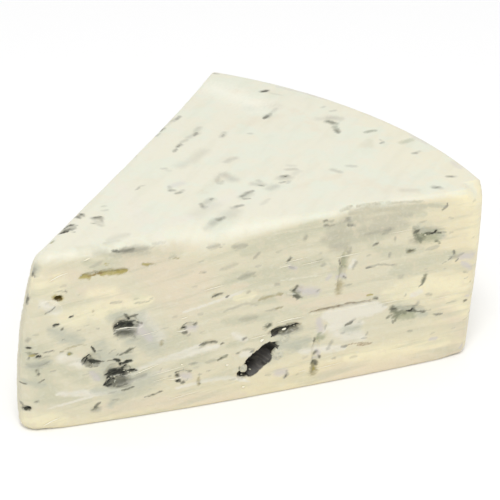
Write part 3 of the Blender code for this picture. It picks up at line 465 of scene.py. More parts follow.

# Marks on the top, which lies under a thin pale bloom; its paste is also painted lighter, as painted light
# from above. The points are forward and sideways from the wheel's centre, in millimetres.
TOP_MARKS = {
    "ink": (
        (0.9, (18.5, 1.8), (19.3, 1.4), (20.3, 1.1)), (0.5, (21.1, 3.1), (21.9, 3.1)),
        (0.7, (21.0, 3.1), (21.7, 3.1), (22.3, 2.5)), (0.5, (65.6, -9.0), (66.1, -9.2)),
        (0.7, (91.2, 24.5), (92.2, 24.2)),
    ),
    "grey": (
        (1.5, (20.0, 2.3), (21.3, 1.7)), (1.3, (25.1, 4.7), (25.6, 4.1)), (0.9, (25.9, -0.6), (25.9, -1.4)),
        (1.0, (26.2, 1.0), (26.7, -0.5)), (1.1, (26.6, 2.1), (27.6, 0.6)), (0.6, (29.8, 3.5), (30.7, 3.0)),
        (0.7, (30.9, 4.7), (31.5, 4.5)), (0.6, (41.7, 6.6), (42.5, 6.4)),
        (1.5, (42.1, -14.3), (43.5, -14.2)), (0.9, (44.5, -8.8), (45.4, -8.7)),
        (0.9, (46.0, 3.0), (45.2, 1.3)), (0.8, (45.9, -0.5), (46.9, -0.3)),
        (1.6, (46.5, -7.4), (48.3, -7.1)), (1.1, (48.7, -12.7), (49.7, -12.7)),
        (0.6, (48.8, 17.1), (50.6, 18.1)), (0.9, (50.2, 9.7), (50.7, 9.4)),
        (2.0, (53.3, -10.4), (55.2, -10.0)), (1.1, (54.1, -3.1), (55.1, -2.6)),
        (1.2, (53.7, -2.5), (55.7, -0.6), (57.2, 0.2)), (2.3, (57.3, -0.6), (57.1, -3.5)),
        (1.7, (58.8, -7.6), (59.9, -9.1)), (1.0, (60.3, -7.0), (60.3, -7.9)),
        (2.0, (59.7, -11.1), (61.2, -11.1)), (1.0, (60.8, 16.4), (63.1, 16.9)),
        (1.3, (61.5, 3.5), (62.6, 3.7)), (1.5, (62.6, 3.8), (64.1, 3.7)),
        (0.8, (63.9, -11.9), (65.2, -10.9)), (1.5, (63.8, 17.4), (66.5, 17.9)),
        (1.7, (64.3, -9.2), (66.0, -10.2)), (1.2, (66.6, 25.7), (67.7, 26.0)),
        (1.3, (67.0, 18.8), (68.7, 19.7)), (1.1, (68.1, -7.3), (69.5, -8.2)),
        (1.2, (69.1, 13.2), (71.0, 14.4)), (0.8, (74.3, 10.7), (74.8, 10.2)),
        (1.1, (74.8, -13.1), (75.1, -15.2)), (1.1, (78.2, -14.1), (79.2, -15.3)),
        (1.3, (83.4, -32.3), (83.9, -33.8)), (1.1, (84.3, 15.0), (87.6, 16.2)),
        (0.7, (89.4, -31.8), (90.0, -32.3)), (0.6, (91.9, -10.2), (91.5, -11.0)),
        (2.3, (92.4, 4.7), (93.1, 3.3)), (0.7, (92.4, -19.5), (93.6, -19.5)),
        (0.8, (94.4, 9.5), (95.3, 9.5)), (0.8, (94.5, 7.0), (95.6, 6.5)),
    ),
    "smudge": (
        (1.0, (21.8, -7.2), (24.7, -8.2)), (2.0, (23.1, -6.7), (27.3, -7.4)),
        (1.3, (40.1, -14.6), (42.2, -14.4)), (3.0, (46.1, -13.8), (47.8, -13.6)),
        (0.9, (50.3, 8.5), (50.5, 8.0)), (1.0, (53.5, -15.3), (56.7, -14.3)),
        (2.3, (53.7, 8.2), (57.3, 8.7)), (2.3, (58.3, 9.0), (61.8, 10.4)),
        (1.1, (63.5, 24.8), (66.9, 26.0)), (1.3, (67.4, -9.7), (69.3, -9.3)),
        (1.1, (69.6, -6.1), (70.3, -7.0)), (1.7, (77.8, -29.4), (79.8, -31.0)),
        (3.0, (83.4, 20.1), (87.9, 17.3)), (2.0, (90.1, 6.0), (91.2, 4.9)),
        (0.7, (91.8, 23.4), (92.2, 21.6), (93.0, 19.9)),
    ),
    "haze": (
        (3.0, (41.8, -15.0), (46.3, -15.0)), (3.0, (41.9, -9.8), (46.9, -9.2)),
    ),
    "lilac": (
        (1.7, (46.5, 2.5), (48.5, 2.2)), (1.4, (94.6, -27.2), (93.4, -30.6)),
        (0.9, (95.0, 24.5), (96.9, 18.7)), (1.0, (98.0, -12.7), (97.1, -18.5)),
        (0.9, (96.9, 18.7), (98.5, 11.1)),
    ),
    "olive": (
        (0.5, (14.9, 0.0), (15.5, 0.0)),
    ),
    "green": (
        (1.5, (94.0, -14.4), (96.2, -14.5)),
    ),
    "drab_and_shade": (
        (2.7, (17.5, -6.1), (21.9, -8.3)), (2.7, (49.1, -4.1), (53.6, -1.8)),
        (1.7, (75.0, 6.7), (76.9, 6.6)), (2.7, (84.7, -12.8), (90.1, -8.7)),
    ),
    "beige": (
        (1.7, (47.9, -4.0), (57.6, -1.1)), (2.5, (61.4, -13.6), (73.9, -16.2)),
        (5.5, (72.7, -19.4), (80.3, -31.6)), (3.8, (72.6, 15.5), (85.5, 13.0)),
        (2.5, (84.6, 35.2), (87.4, 27.6)), (2.5, (89.9, 13.6), (85.4, 1.0)),
    ),
    "mist": (
        (5.3, (38.6, 11.9), (31.3, -11.7)), (3.4, (32.6, -7.3), (42.1, -10.7)),
        (3.2, (45.1, -9.3), (56.6, -8.0)),
    ),
    "shade": (
        (1.0, (63.2, -26.8), (66.0, -27.2)),
        (1.2, (64.0, -28.4), (69.0, -30.6), (77.5, -34.7), (83.0, -37.4)),
    ),
    "dusk": (
        (0.7, (18.7, 1.9), (19.7, 1.4)), (1.1, (18.8, 1.7), (20.6, 1.3)), (0.4, (19.6, 2.5), (20.9, 3.0)),
        (0.5, (20.9, 2.9), (21.7, 2.8)), (0.8, (24.7, 4.8), (24.7, 3.7)), (0.6, (26.0, 5.5), (25.7, 3.8)),
        (0.6, (27.1, 2.1), (28.0, 1.8)), (0.4, (58.8, 15.2), (60.2, 15.9)),
        (0.5, (61.3, 23.6), (62.8, 24.4)), (0.8, (82.0, 14.1), (83.3, 14.6)),
    ),
    "slate": (
        (0.4, (20.1, 0.1), (20.6, -0.1)), (1.1, (20.8, 2.8), (21.9, 2.2)), (0.4, (21.1, 1.1), (21.7, 1.1)),
        (0.4, (22.0, 1.9), (22.5, 1.7)), (0.5, (25.1, 0.5), (25.8, 0.1)), (0.9, (25.0, 5.0), (26.0, 4.6)),
        (0.5, (27.5, 0.9), (26.9, -0.2)), (0.9, (26.7, 2.0), (27.9, 1.3)), (0.6, (40.2, 5.9), (41.6, 6.4)),
        (0.9, (43.5, -14.3), (44.7, -14.4)), (0.8, (45.5, -7.1), (44.8, -8.2)),
        (0.9, (45.0, 1.3), (45.5, 0.8)), (0.8, (45.0, -0.5), (45.8, -0.7)),
        (0.6, (48.0, -7.1), (48.7, -7.0)), (0.9, (49.5, -12.6), (50.8, -12.9)),
        (0.6, (52.9, -11.2), (53.9, -11.8)), (0.7, (53.2, -10.1), (54.4, -9.8)),
        (0.9, (54.8, -9.7), (56.5, -9.7)), (0.8, (56.6, 13.9), (58.4, 14.9)),
        (0.5, (58.9, -8.4), (59.7, -9.5)), (1.0, (58.5, 15.1), (60.6, 16.1)),
        (0.7, (58.8, 22.2), (60.7, 23.2)), (1.0, (61.1, 23.5), (63.2, 24.6)),
        (0.6, (62.9, -10.7), (64.0, -10.9)), (1.1, (65.2, -9.0), (66.1, -9.3)),
        (0.8, (65.0, 17.3), (66.7, 18.1)), (0.9, (67.8, 25.9), (69.1, 26.5)),
        (0.5, (69.3, 13.2), (70.2, 13.8)), (0.9, (83.2, -32.8), (83.9, -33.1)),
        (0.9, (88.7, -0.6), (88.1, -1.7)), (0.8, (88.8, -31.2), (89.4, -31.8)),
        (0.6, (90.0, 39.3), (90.6, 38.4)), (0.9, (90.6, 3.8), (90.9, 2.6)),
        (0.6, (90.5, -11.4), (91.3, -11.5)), (1.1, (91.0, 24.6), (92.3, 24.0)),
        (0.8, (91.8, -19.3), (92.3, -19.7)),
    ),
    "moss": (
        (0.8, (15.1, 0.1), (15.7, 0.1)), (1.4, (81.8, 14.1), (84.6, 14.9)),
        (1.3, (89.7, 0.8), (88.4, -1.3)), (1.5, (90.6, 3.7), (90.8, 2.0)),
        (1.1, (92.4, -5.5), (94.2, -6.2)),
    ),
    "pale": (
        (7.3, (84.7, 33.0), (85.4, 19.7)),
    ),
}
MARK_KINDS = (
    "hollow", "veil", "ink", "dusk", "slate", "moss", "brown", "grey", "smudge", "haze", "lilac", "olive",
    "tan", "green", "white", "pale", "line", "drab_and_shade", "beige", "mist", "butter", "shade",
)

# Smears of cream that the knife drew out: radius, then reach and height along the front cut,
# all in millimetres.
THREADS = (
    (0.07, (26.6, 9.6), (29.0, 10.3), (32.0, 11.2)),
    (0.06, (30.4, 7.4), (33.4, 7.9)),
    (0.10, (11.7, 32.0), (13.5, 32.9), (15.4, 33.3)),
    (0.10, (18.3, 35.2), (19.6, 35.6)),
    (0.12, (9.0, 1.3), (10.8, 2.2), (12.4, 2.7)),
    (0.09, (35.3, 17.5), (36.8, 17.3), (37.6, 17.6)),
    (0.08, (36.3, 20.0), (37.7, 20.2)),
    (0.09, (33.2, 7.4), (35.2, 7.2), (36.2, 7.5)),
    (0.08, (56.0, 27.4), (58.4, 27.6)),
    (0.08, (57.3, 21.6), (59.4, 21.2)),
    (0.10, (23.2, 19.9), (25.6, 20.1), (28.0, 19.7)),
    (0.10, (55.0, 15.6), (58.0, 16.0), (61.0, 16.0)),
)

# Faint ones are drawn by chance between these limits, along the knife's path.
RANDOM_THREADS = 14
THREAD_SEED = 3
THREAD_REACH = (9, 90)
THREAD_HEIGHT = (2, 31)
THREAD_LENGTH = (1.5, 7.0)
THREAD_RADIUS = (0.035, 0.07)
LAST_THREAD_REACH = 94
HIGHEST_THREAD_END = 33
RANDOM_THREAD_POINTS = 12
THREAD_STEP = 0.35
THREAD_SINK = 0.45  # share of its radius that a thread's middle lies under the cut
LEAST_THREAD_RADIUS = 0.01
LEAST_THREAD_POINTS = 6
THREAD_SMOOTHING = 4  # times

# Lumps of curd, and bright beads of cream that partly stand for painted glints on the wet cut: reach,
# height, half length, half width, how proud they stand and how deep their middle lies under the cut, in
# millimetres, and the turn in degrees.
GREY_LUMPS = (
    (48.55, 6.8, 0.85, 0.95, 0.7, 0.6, 20),
    (55.7, 8.5, 1.25, 1.7, 0.9, 0.8, -30),
    (56.9, 11.8, 1.5, 0.8, 0.5, 0.5, 30),
)
CREAM_BEADS_AND_GLINTS = (
    (52.3, 12.4, 0.45, 0.25, 0.2, 0.10, 35),
    (56.9, 13.95, 0.45, 0.18, 0.22, 0.25, 12),
    (45.2, 8.4, 0.30, 0.16, 0.16, 0.02, 5),
    (48.4, 2.9, 0.34, 0.15, 0.16, 0.02, 5),
    (36.2, 10.2, 0.20, 0.16, 0.16, 0.02, 0),
    (27.9, 10.0, 0.24, 0.12, 0.12, 0.02, 0),
)


# How far noise moves the surface of a lump and of a bead, and how finely their faces are split.
LUMP_UNEVENNESS = 0.00030
BEAD_UNEVENNESS = 0.00010
LUMP_ROUNDNESS = 5
CRUMB_ROUNDNESS = 2

# How far light goes into soft cheese, and the share of that for each of its colours.
LIGHT_SCALE = 0.0010
LIGHT_REACH = (1.0, 0.75, 0.45)

# The camera, as it was fitted to the photo's outline, the lamps and the floor.
CAMERA_PLACE = (-0.20628, -0.23604, 0.18939)
CAMERA_TARGET = (0.01007, -0.00257, 0.01865)
CAMERA_ANGLE = math.radians(16.0)
CAMERA_NEAREST = 0.01
OVERHEAD_PLACE = (-0.22, -0.24, 0.66)
OVERHEAD_SIZE = 0.26
BESIDE_CAMERA_PLACE = (-0.55, -0.45, 0.40)
BESIDE_CAMERA_SIZE = 0.60
FLOOR_HALF_SIZE = 3.0
FLOOR_ROUGHNESS = 0.9


def colour_property(name, description, value):
    return FloatVectorProperty(
        name=name, description=description, default=value, size=3, min=0.0, max=1.0, subtype="COLOR"
    )


class CheeseReliefSettings(bpy.types.PropertyGroup):
    pit_depth: FloatProperty(
        name="Pocket depth", description="Depth of the mould pockets, as a share of the full one",
        default=1.0, min=0.0, max=1.5, subtype="FACTOR",
    )
    mould_depth: FloatProperty(
        name="Mould depth", description="How far the dark mould sinks into the cut",
        default=0.00022, min=0.0, max=0.001, unit="LENGTH",
    )
    grain_depth: FloatProperty(
        name="Grain depth", description="Depth of the paste's fine unevenness",
        default=0.00008, min=0.0, max=0.0005, unit="LENGTH",
    )
    drag_depth: FloatProperty(
        name="Drag depth", description="Depth of the grooves that the knife drew along the cuts",
        default=0.00014, min=0.0, max=0.0005, unit="LENGTH",
    )
    thread_scale: FloatProperty(
        name="Smear thickness", description="Thickness of the drawn-out smears, as a share of the full one",
        default=1.0, min=0.1, max=2.0, subtype="FACTOR",
    )
    crumb_size: FloatProperty(
        name="Crumb size", description="Radius of the largest crumb",
        default=0.00030, min=0.0001, max=0.001, unit="LENGTH",
    )
    crumb_density: FloatProperty(
        name="Crumbs per square metre", description="How thickly crumbs lie where the paste is broken",
        default=150000.0, min=0.0, max=1000000.0,
    )
    seed: IntProperty(name="Seed", description="Seed of everything that is scattered", default=11, min=0)


class CheeseColourSettings(bpy.types.PropertyGroup):
    cut_paste: colour_property("Cut paste", "The paste on the cuts", (0.66, 0.62, 0.46))
    # The top's paste is lighter than the cuts': partly its pale bloom, partly painted light from above.
    top_paste_and_light: colour_property("Top paste", "The paste on the top, under its bloom", (0.75, 0.73, 0.60))
    warm_paste: colour_property("Warm paste", "The yellower paste near the foot and rind", (0.80, 0.71, 0.47))
    butter_paste: colour_property("Butter paste", "The brightest, yellowest paste", (0.92, 0.85, 0.57))
    shade_paste: colour_property("Shaded paste", "The dull paste under the upper edge", (0.47, 0.45, 0.34))
    mint_paste: colour_property("Cool paste", "The cooler clouds in the top's bloom", (0.72, 0.74, 0.62))
    beige_paste: colour_property("Beige paste", "The pinker paste in broad patches", (0.71, 0.62, 0.47))
    # Drab paste is also painted shade, under the front cut's upper edge.
    drab_and_shade_paste: colour_property("Drab paste", "The duller, greener paste near the mould", (0.54, 0.53, 0.39))
    mist_paste: colour_property("Misty paste", "The whiter, clouded paste", (0.75, 0.72, 0.62))
    rind: colour_property("Rind", "The rind between its patches", (0.80, 0.74, 0.55))
    rind_patch: colour_property("Rind patches", "The grey bloom on the rind", (0.46, 0.46, 0.40))
    ink: colour_property("Dark mould", "The darkest mould", (0.012, 0.012, 0.009))
    ink_green: colour_property("Dark green mould", "Dark mould where it is thinner", (0.060, 0.064, 0.042))
    grey: colour_property("Grey mould", "The mould that the knife smeared", (0.17, 0.17, 0.13))
    thin_grey: colour_property("Thin grey mould", "The smeared mould where it is thinner", (0.31, 0.30, 0.25))
    haze: colour_property("Haze", "The grey cloud round the mould", (0.46, 0.47, 0.38))
    lilac: colour_property("Lilac", "The lilac mould inside the rings", (0.58, 0.54, 0.52))
    olive: colour_property("Olive", "The olive-gold stain round holes and cracks", (0.36, 0.30, 0.07))
    brown: colour_property("Brown", "The dark brown of holes and cracks", (0.085, 0.055, 0.001))
    tan: colour_property("Tan", "The faint brown at the ends of the needle tracks", (0.34, 0.29, 0.15))
    moss: colour_property("Moss", "The green-grey mould of the veins by the rind", (0.15, 0.16, 0.10))
    dusk: colour_property("Dusk", "The half-dark mould of thin veins", (0.10, 0.10, 0.07))
    green: colour_property("Green", "The soft green mould", (0.36, 0.37, 0.24))
    stain: colour_property("Stain", "The brown stain along thin lines", (0.24, 0.14, 0.06))
    # Painted shade inside the cavity, over its mould.
    inside: colour_property("Inside of the cavity", "The dull parts inside it", (0.055, 0.050, 0.047))
    veil: colour_property("Veil", "The greyest parts inside the cavity", (0.11, 0.104, 0.098))
    curd: colour_property("Curd", "The lumps of curd in the cavity", (0.60, 0.58, 0.45))
    dull_curd: colour_property("Dull curd", "The duller patches of the lumps", (0.46, 0.45, 0.35))
    # Cream also paints the glints that the bright beads stand for.
    cream: colour_property("Cream", "Smears and beads of soft cream", (0.88, 0.86, 0.74))


class CheeseStageSettings(bpy.types.PropertyGroup):
    floor: colour_property("Floor", "The plain floor", (0.96, 0.96, 0.96))
    sky_strength: FloatProperty(
        name="Sky strength", description="Strength of the even light from all sides", default=0.84, min=0.0
    )
    key_power: FloatProperty(
        name="Key light", description="Power of the soft light overhead", default=1.7, min=0.0, unit="POWER"
    )
    fill_power: FloatProperty(
        name="Fill light", description="Power of the soft light beside the camera", default=0.2, min=0.0,
        unit="POWER",
    )
    camera_angle: FloatProperty(
        name="Camera angle", description="The camera's angle of view", default=CAMERA_ANGLE, unit="ROTATION"
    )


def mix(start, end, share):
    return start + (end - start) * share


def ease(share):
    share = min(max(share, 0.0), 1.0)
    return share * share * (3.0 - 2.0 * share)


def smooth_steps(values, low, high):
    shares = np.clip((values - low) / (high - low), 0.0, 1.0)
    return shares * shares * (3.0 - 2.0 * shares)


def heading(angle):
    return Vector((math.cos(angle), math.sin(angle), 0.0))


def right_of(direction):
    return Vector((direction.y, -direction.x, 0.0))


FRONT_HEADING = heading(-RIND_SPAN / 2)
BACK_HEADING = heading(RIND_SPAN / 2)


class Plan:
    """The wedge's outline at one level, from 0 at the foot to 1 at the top.

    It is laid out round the wheel's centre, with the front cut along one radius. The back cut
    runs from where the cuts meet to the rind's far end."""

    def __init__(self, level):
        self.radius = WHEEL_RADIUS - RIND_TUCK * (1.0 - level)
        self.front = FRONT_HEADING
        rind_end = BACK_HEADING * self.radius
        lean = level**POINT_LEAN_CURVE
        self.vertex = self.front * mix(POINT_SETBACK_FOOT, POINT_SETBACK_TOP, lean)
        self.back = (rind_end - self.vertex).normalized()
        self.point_radius = mix(POINT_RADIUS_FOOT, POINT_RADIUS_TOP, level)
        widening = level**CORNER_CURVE
        self.corner_radius = mix(FRONT_CORNER_RADIUS_FOOT, FRONT_CORNER_RADIUS_TOP, widening)
        self.level = level
        half_angle = self.front.angle(self.back) / 2
        self.point_reach = self.point_radius / math.tan(half_angle)
        middle = (self.front + self.back).normalized()
        self.point_centre = self.vertex + middle * self.point_radius / math.sin(half_angle)
        inner = self.radius - self.corner_radius
        along = math.sqrt(inner**2 - self.corner_radius**2)
        self.corner_centre = self.front * along - right_of(self.front) * self.corner_radius
        inner = self.radius - BACK_CORNER_RADIUS
        base = self.vertex + right_of(self.back) * BACK_CORNER_RADIUS
        across = base.dot(self.back)
        run = -across + math.sqrt(across**2 - base.length_squared + inner**2)
        self.back_corner_centre = base + self.back * run

    def run(self, side):
        """The two ends of one cut's straight run, from the point to the rind."""
        if side == "front":
            edge = right_of(self.front) * self.corner_radius
            return self.vertex + self.front * self.point_reach, self.corner_centre + edge
        edge = -right_of(self.back) * BACK_CORNER_RADIUS
        return self.vertex + self.back * self.point_reach, self.back_corner_centre + edge

    def place(self, stretch, share):
        """The point and outward direction at a share of the way along one stretch."""
        out_front = right_of(self.front)
        out_back = -right_of(self.back)
        if stretch == "front":
            start, end = self.run("front")
            return start.lerp(end, share) + out_front * self.front_swell(share), out_front
        if stretch == "corner":
            centre = self.corner_centre
            spot, out = self.arc(centre, self.corner_radius, out_front, centre, share)
            return spot + out_front * self.front_swell(1.0) * (1 - share), out
        if stretch == "rind":
            first = math.atan2(self.corner_centre.y, self.corner_centre.x)
            last = math.atan2(self.back_corner_centre.y, self.back_corner_centre.x)
            out = heading(mix(first, last, share))
            return out * self.radius, out
        if stretch == "back_corner":
            centre = self.back_corner_centre
            return self.arc(centre, BACK_CORNER_RADIUS, centre, out_back, share)
        if stretch == "back":
            start, end = self.run("back")
            hollow = out_back * BACK_HOLLOW * 4 * share * (1 - share)
            return end.lerp(start, share) - hollow, out_back
        return self.arc(self.point_centre, self.point_radius, out_back, out_front, share)

    def front_swell(self, share):
        """How far the front cut stands out, or in, at a share of its length."""
        reach = mix(self.vertex.length, self.radius, share)
        bow = FOOT_BOW * (1.0 - self.level) * 4 * share * (1 - share)
        upper = 1.0 - (1.0 - self.level) * SLAB_HEIGHT / BITE_HEIGHT
        beyond = ease((reach - BITE_START) / BITE_STEP)
        left = mix(1.0, BITE_LEFT, (reach - BITE_START) / (self.radius - BITE_START))
        return bow - BITE_DEPTH * beyond * left * ease(upper)

    def arc(self, centre, radius, first_out, last_out, share):
        first = math.atan2(first_out.y, first_out.x)
        sweep = (math.atan2(last_out.y, last_out.x) - first) % (2 * math.pi)
        out = heading(first + sweep * share)
        return centre + out * radius, out


def shoulder_radius(stretch, share):
    """How round the upper edge is: it slumps along the front cut and at the front corner."""
    if stretch == "front":
        reach = mix(POINT_SETBACK_TOP, WHEEL_RADIUS, share)
        slump = math.exp(-(((reach - SHOULDER_SLUMP) / SHOULDER_SLUMP_SPREAD) ** 2))
        start = mix(SHOULDER_POINT, SHOULDER_FRONT, ease(share / POINT_EASE))
        return start + SHOULDER_SOFTENING * slump
    if stretch == "corner":
        rise = SHOULDER_CORNER_RISE * math.sin(math.pi * share)
        return mix(SHOULDER_FRONT, SHOULDER_RIND, share) + rise
    if stretch == "rind":
        return SHOULDER_RIND
    if stretch == "back_corner":
        return mix(SHOULDER_RIND, SHOULDER_BACK, share)
    if stretch == "back":
        return mix(SHOULDER_BACK, SHOULDER_POINT, ease((share - 1 + POINT_EASE) / POINT_EASE))
    return SHOULDER_POINT


def foot_radius(stretch, share):
    """How round the lower edge is: rounder at the point and the front corner, and it eases off."""
    if stretch in ("corner", "point"):
        return FOOT_CORNER_RADIUS
    near = {"front": min(share, 1 - share), "rind": share, "back": 1 - share}.get(stretch, 1.0)
    return mix(FOOT_CORNER_RADIUS, FOOT_EDGE_RADIUS, ease(near / FOOT_EASE))


def sway(point, amount):
    """A slow unevenness between 0 and minus the amount given."""
    return -amount * (0.5 + 0.5 * noise.noise(point / SWAY_SIZE))


def wall_point(stretch, share, height, inset):
    """A point of the wall at a height, moved in from the outline by the inset."""
    spot, out = Plan(height / SLAB_HEIGHT).place(stretch, share)
    spot.z = height
    return spot + out * (sway(spot, WALL_SWAY) - inset)


def profile_point(stretch, share, travel):
    """The wall's point at a share of the way up its profile, and how far up that is."""
    foot = foot_radius(stretch, share)
    shoulder = shoulder_radius(stretch, share)
    foot_arc = math.pi / 2 * foot
    wall = SLAB_HEIGHT - foot - shoulder
    reach = travel * (foot_arc + wall + math.pi / 2 * shoulder)
    if reach < foot_arc:
        turn = reach / foot
        height, inset = foot * (1 - math.cos(turn)), foot * (1 - math.sin(turn))
    elif reach < foot_arc + wall:
        height, inset = foot + reach - foot_arc, 0.0
    else:
        turn = min((reach - foot_arc - wall) / shoulder, math.pi / 2)
        height = SLAB_HEIGHT - shoulder * (1 - math.sin(turn))
        inset = shoulder * (1 - math.cos(turn))
    return wall_point(stretch, share, height, inset), reach


def cut_frame(side, reach, height):
    """A frame on a cut face: X level along the cut, Y up and Z outwards, in metres."""
    plan = Plan(height / SLAB_HEIGHT)
    start, end = plan.run(side)
    share = (reach - start.length) / (end.length - start.length)
    spot, out = plan.place(side, share if side == "front" else 1 - share)
    spot.z = height
    spot += out * sway(spot, WALL_SWAY)
    axes = Matrix((-right_of(out), Vector((0, 0, 1)), out)).transposed().to_4x4()
    return Matrix.Translation(spot) @ axes


class WedgeMesh:
    """The wedge as a dense mesh: a grid up the walls, and a net of triangles on the top and foot."""

    def __init__(self):
        self.points = []
        self.faces = []
        self.corners = []
        self.columns = []
        self.along = []
        self.lay_columns()
        self.join_columns()
        self.net(self.edge(-1), TOP_STEP_MM, True)
        self.net(self.edge(0), FOOT_STEP_MM, False)

    def lay_columns(self):
        """Each column is a list of its points' numbers and one of their distances up the profile."""
        outline = Plan(0.5)
        before = None
        travelled = 0.0
        for stretch, count in STRETCH_COLUMNS.items():
            for step in range(count):
                share = step / count
                fine = stretch in FINE_STRETCHES or (stretch == "rind" and step == 0)
                rows = FINE_ROWS if fine else COARSE_ROWS
                numbers, reaches = [], []
                for row in range(rows + 1):
                    spot, reach = profile_point(stretch, share, row / rows)
                    numbers.append(len(self.points))
                    reaches.append(reach)
                    self.points.append(spot)
                spot = outline.place(stretch, share)[0]
                travelled += (spot - before).length if before else 0.0
                before = spot
                self.columns.append((stretch, numbers, reaches))
                self.along.append(travelled)
        first = outline.place("front", 0.0)[0]
        self.along.append(travelled + (first - before).length)

    def join_columns(self):
        for index, (stretch, here, here_reach) in enumerate(self.columns):
            after = (index + 1) % len(self.columns)
            _, there, there_reach = self.columns[after]
            left = [(number, (self.along[index], reach)) for number, reach in zip(here, here_reach)]
            right = [(number, (self.along[index + 1], reach)) for number, reach in zip(there, there_reach)]
            if len(left) == len(right):
                for low in range(len(left) - 1):
                    self.add_face((left[low], right[low], right[low + 1], left[low + 1]), stretch)
                continue
            for low in range(COARSE_ROWS):
                high = 2 * low
                if len(left) > len(right):
                    face = (left[high], right[low], right[low + 1], left[high + 2], left[high + 1])
                else:
                    face = (left[low], right[high], right[high + 1], right[high + 2], left[low + 1])
                self.add_face(face, stretch)

    def add_face(self, corners, part):
        self.faces.append([number for number, _ in corners])
        self.corners.append((part, [place for _, place in corners]))

    def edge(self, row):
        return [numbers[row] for _, numbers, _ in self.columns]

    def net(self, edge, step_mm, upper):
        """Fills a level edge with triangles of about the step's size."""
        rim = np.array([self.points[number][:2] for number in edge]) / MM
        inside = self.grid_inside(rim, step_mm)
        spots = [Vector(spot) for spot in rim] + [Vector(spot) for spot in inside]
        count = len(rim)
        rim_edges = [(index, (index + 1) % count) for index in range(count)]
        verts, _, faces, originals, _, _ = geometry.delaunay_2d_cdt(spots, rim_edges, [], 1, 1e-6)
        nearest = kdtree.KDTree(count)
        for index, spot in enumerate(rim):
            nearest.insert((*spot, 0.0), index)
        nearest.balance()
        numbers = []
        for spot, sources in zip(verts, originals):
            if sources and min(sources) < count:
                numbers.append(edge[min(sources)])
                continue
            place = Vector((spot.x * MM, spot.y * MM, SLAB_HEIGHT if upper else 0.0))
            if upper:
                gap = nearest.find((spot.x, spot.y, 0.0))[2] * MM
                place.z += sway(place, TOP_SWAY) * ease(gap / TOP_SWAY_START)
            numbers.append(len(self.points))
            self.points.append(place)
        for face in faces:
            ring = face if upper else face[::-1]
            places = [(self.points[numbers[index]].x, self.points[numbers[index]].y) for index in ring]
            self.faces.append([numbers[index] for index in ring])
            self.corners.append(("top" if upper else "foot", places))

    def grid_inside(self, rim, step_mm):
        """A grid of staggered points inside the rim, clear of its edge."""
        low, high = rim.min(0), rim.max(0)
        rows = np.arange(low[1], high[1], step_mm * math.sqrt(0.75))
        grid = [
            (x + (index % 2) * step_mm / 2, y)
            for index, y in enumerate(rows)
            for x in np.arange(low[0], high[0], step_mm)
        ]
        grid = np.array(grid)
        ends = np.roll(rim, -1, axis=0)
        crossed = np.zeros(len(grid), bool)
        clear = np.full(len(grid), np.inf)
        for start, end in zip(rim, ends):
            between = (grid[:, 1] >= min(start[1], end[1])) & (grid[:, 1] < max(start[1], end[1]))
            if between.any():
                share = (grid[between, 1] - start[1]) / (end[1] - start[1])
                crossed[between] ^= grid[between, 0] < start[0] + share * (end[0] - start[0])
            gap = np.hypot(grid[:, 0] - start[0], grid[:, 1] - start[1])
            clear = np.minimum(clear, gap)
        return grid[crossed & (clear > EDGE_CLEARANCE * step_mm)]


# Where each part of the surface lies on the baked picture: the corner it starts from, in shares
# of the picture's side, and whether it is turned. The scale is the share for each metre.
PICTURE_SCALE = 5.95
FOOT_PICTURE_SCALE = 3.3
PICTURE_PLACES = {
    "top": (0.010, 0.510, False),
    "front": (0.010, 0.257, False),
    "back": (0.010, 0.005, False),
    "rind": (0.645, 0.500, True),
    "foot": (0.645, 0.010, False),
}
PICTURE_PARTS = {"corner": "front", "back_corner": "back", "point": "back"}


def lay_picture(mesh, wedge):
    """Unrolls the surface flat for the baked picture, with the cuts and the top at one scale."""
    layer = mesh.uv_layers.new(name="OFBake")
    starts = {}
    for (stretch, _, _), along in zip(wedge.columns, wedge.along):
        starts.setdefault(PICTURE_PARTS.get(stretch, stretch), along)
    flat = np.array([(point.x, point.y) for point in wedge.points])
    low = flat.min(0)
    places = []
    for part, corners in wedge.corners:
        part = PICTURE_PARTS.get(part, part)
        left, bottom, turned = PICTURE_PLACES[part]
        scale = FOOT_PICTURE_SCALE if part == "foot" else PICTURE_SCALE
        for across, up in corners:
            if part in starts:
                across -= starts[part]
            else:
                across, up = across - low[0], up - low[1]
            if turned:
                across, up = up, across
            places.append((left + across * scale, bottom + up * scale))
    layer.data.foreach_set("uv", np.array(places, np.float32).ravel())


def spread(points_mm, size_mm, amount_mm, seed):
    """The points pushed about by smooth noise, so that strokes get uneven edges."""
    noise.seed_set(seed)  # noise_vector starts from the clock unless it is told where to start
    pushes = [noise.noise_vector(Vector(point) / size_mm) for point in points_mm]
    return points_mm[:, :2] + np.array(pushes)[:, :2] * amount_mm


def stroke_cover(spots, width, path):
    """1 along a stroke's middle, a half at its edge and 0 at twice its width."""
    path = np.array(path, float)
    lengths = np.linalg.norm(np.diff(path, axis=0), axis=1)
    total = max(lengths.sum(), 1e-6)
    tapered = total > 2 * width
    best = np.full(len(spots), np.inf)
    done = 0.0
    for start, end, length in zip(path, path[1:], lengths):
        run = end - start
        share = np.clip((spots - start) @ run / max(run @ run, 1e-9), 0.0, 1.0)
        gap = np.linalg.norm(spots - (start + share[:, None] * run), axis=1)
        half = width / 2
        if tapered:
            travel = (done + share * length) / total
            half = half * (STROKE_END + STROKE_SWELL * np.sqrt(np.clip(travel * (1 - travel), 0.0, 1.0)))
        best = np.minimum(best, gap / half)
        done += length
    return np.clip(1.0 - 0.5 * best, 0.0, 1.0)


def paint(cover, spots, chosen, marks):
    """Adds every stroke of one side to the cover of each kind of mark."""
    for kind, strokes in marks.items():
        for width, *path in strokes:
            low = np.min(path, axis=0) - width - BRUSH_MARGIN
            high = np.max(path, axis=0) + width + BRUSH_MARGIN
            near = chosen[((spots[chosen] > low) & (spots[chosen] < high)).all(axis=1)]
            if len(near):
                added = stroke_cover(spots[near], width, path)
                cover[kind][near] = np.maximum(cover[kind][near], added)


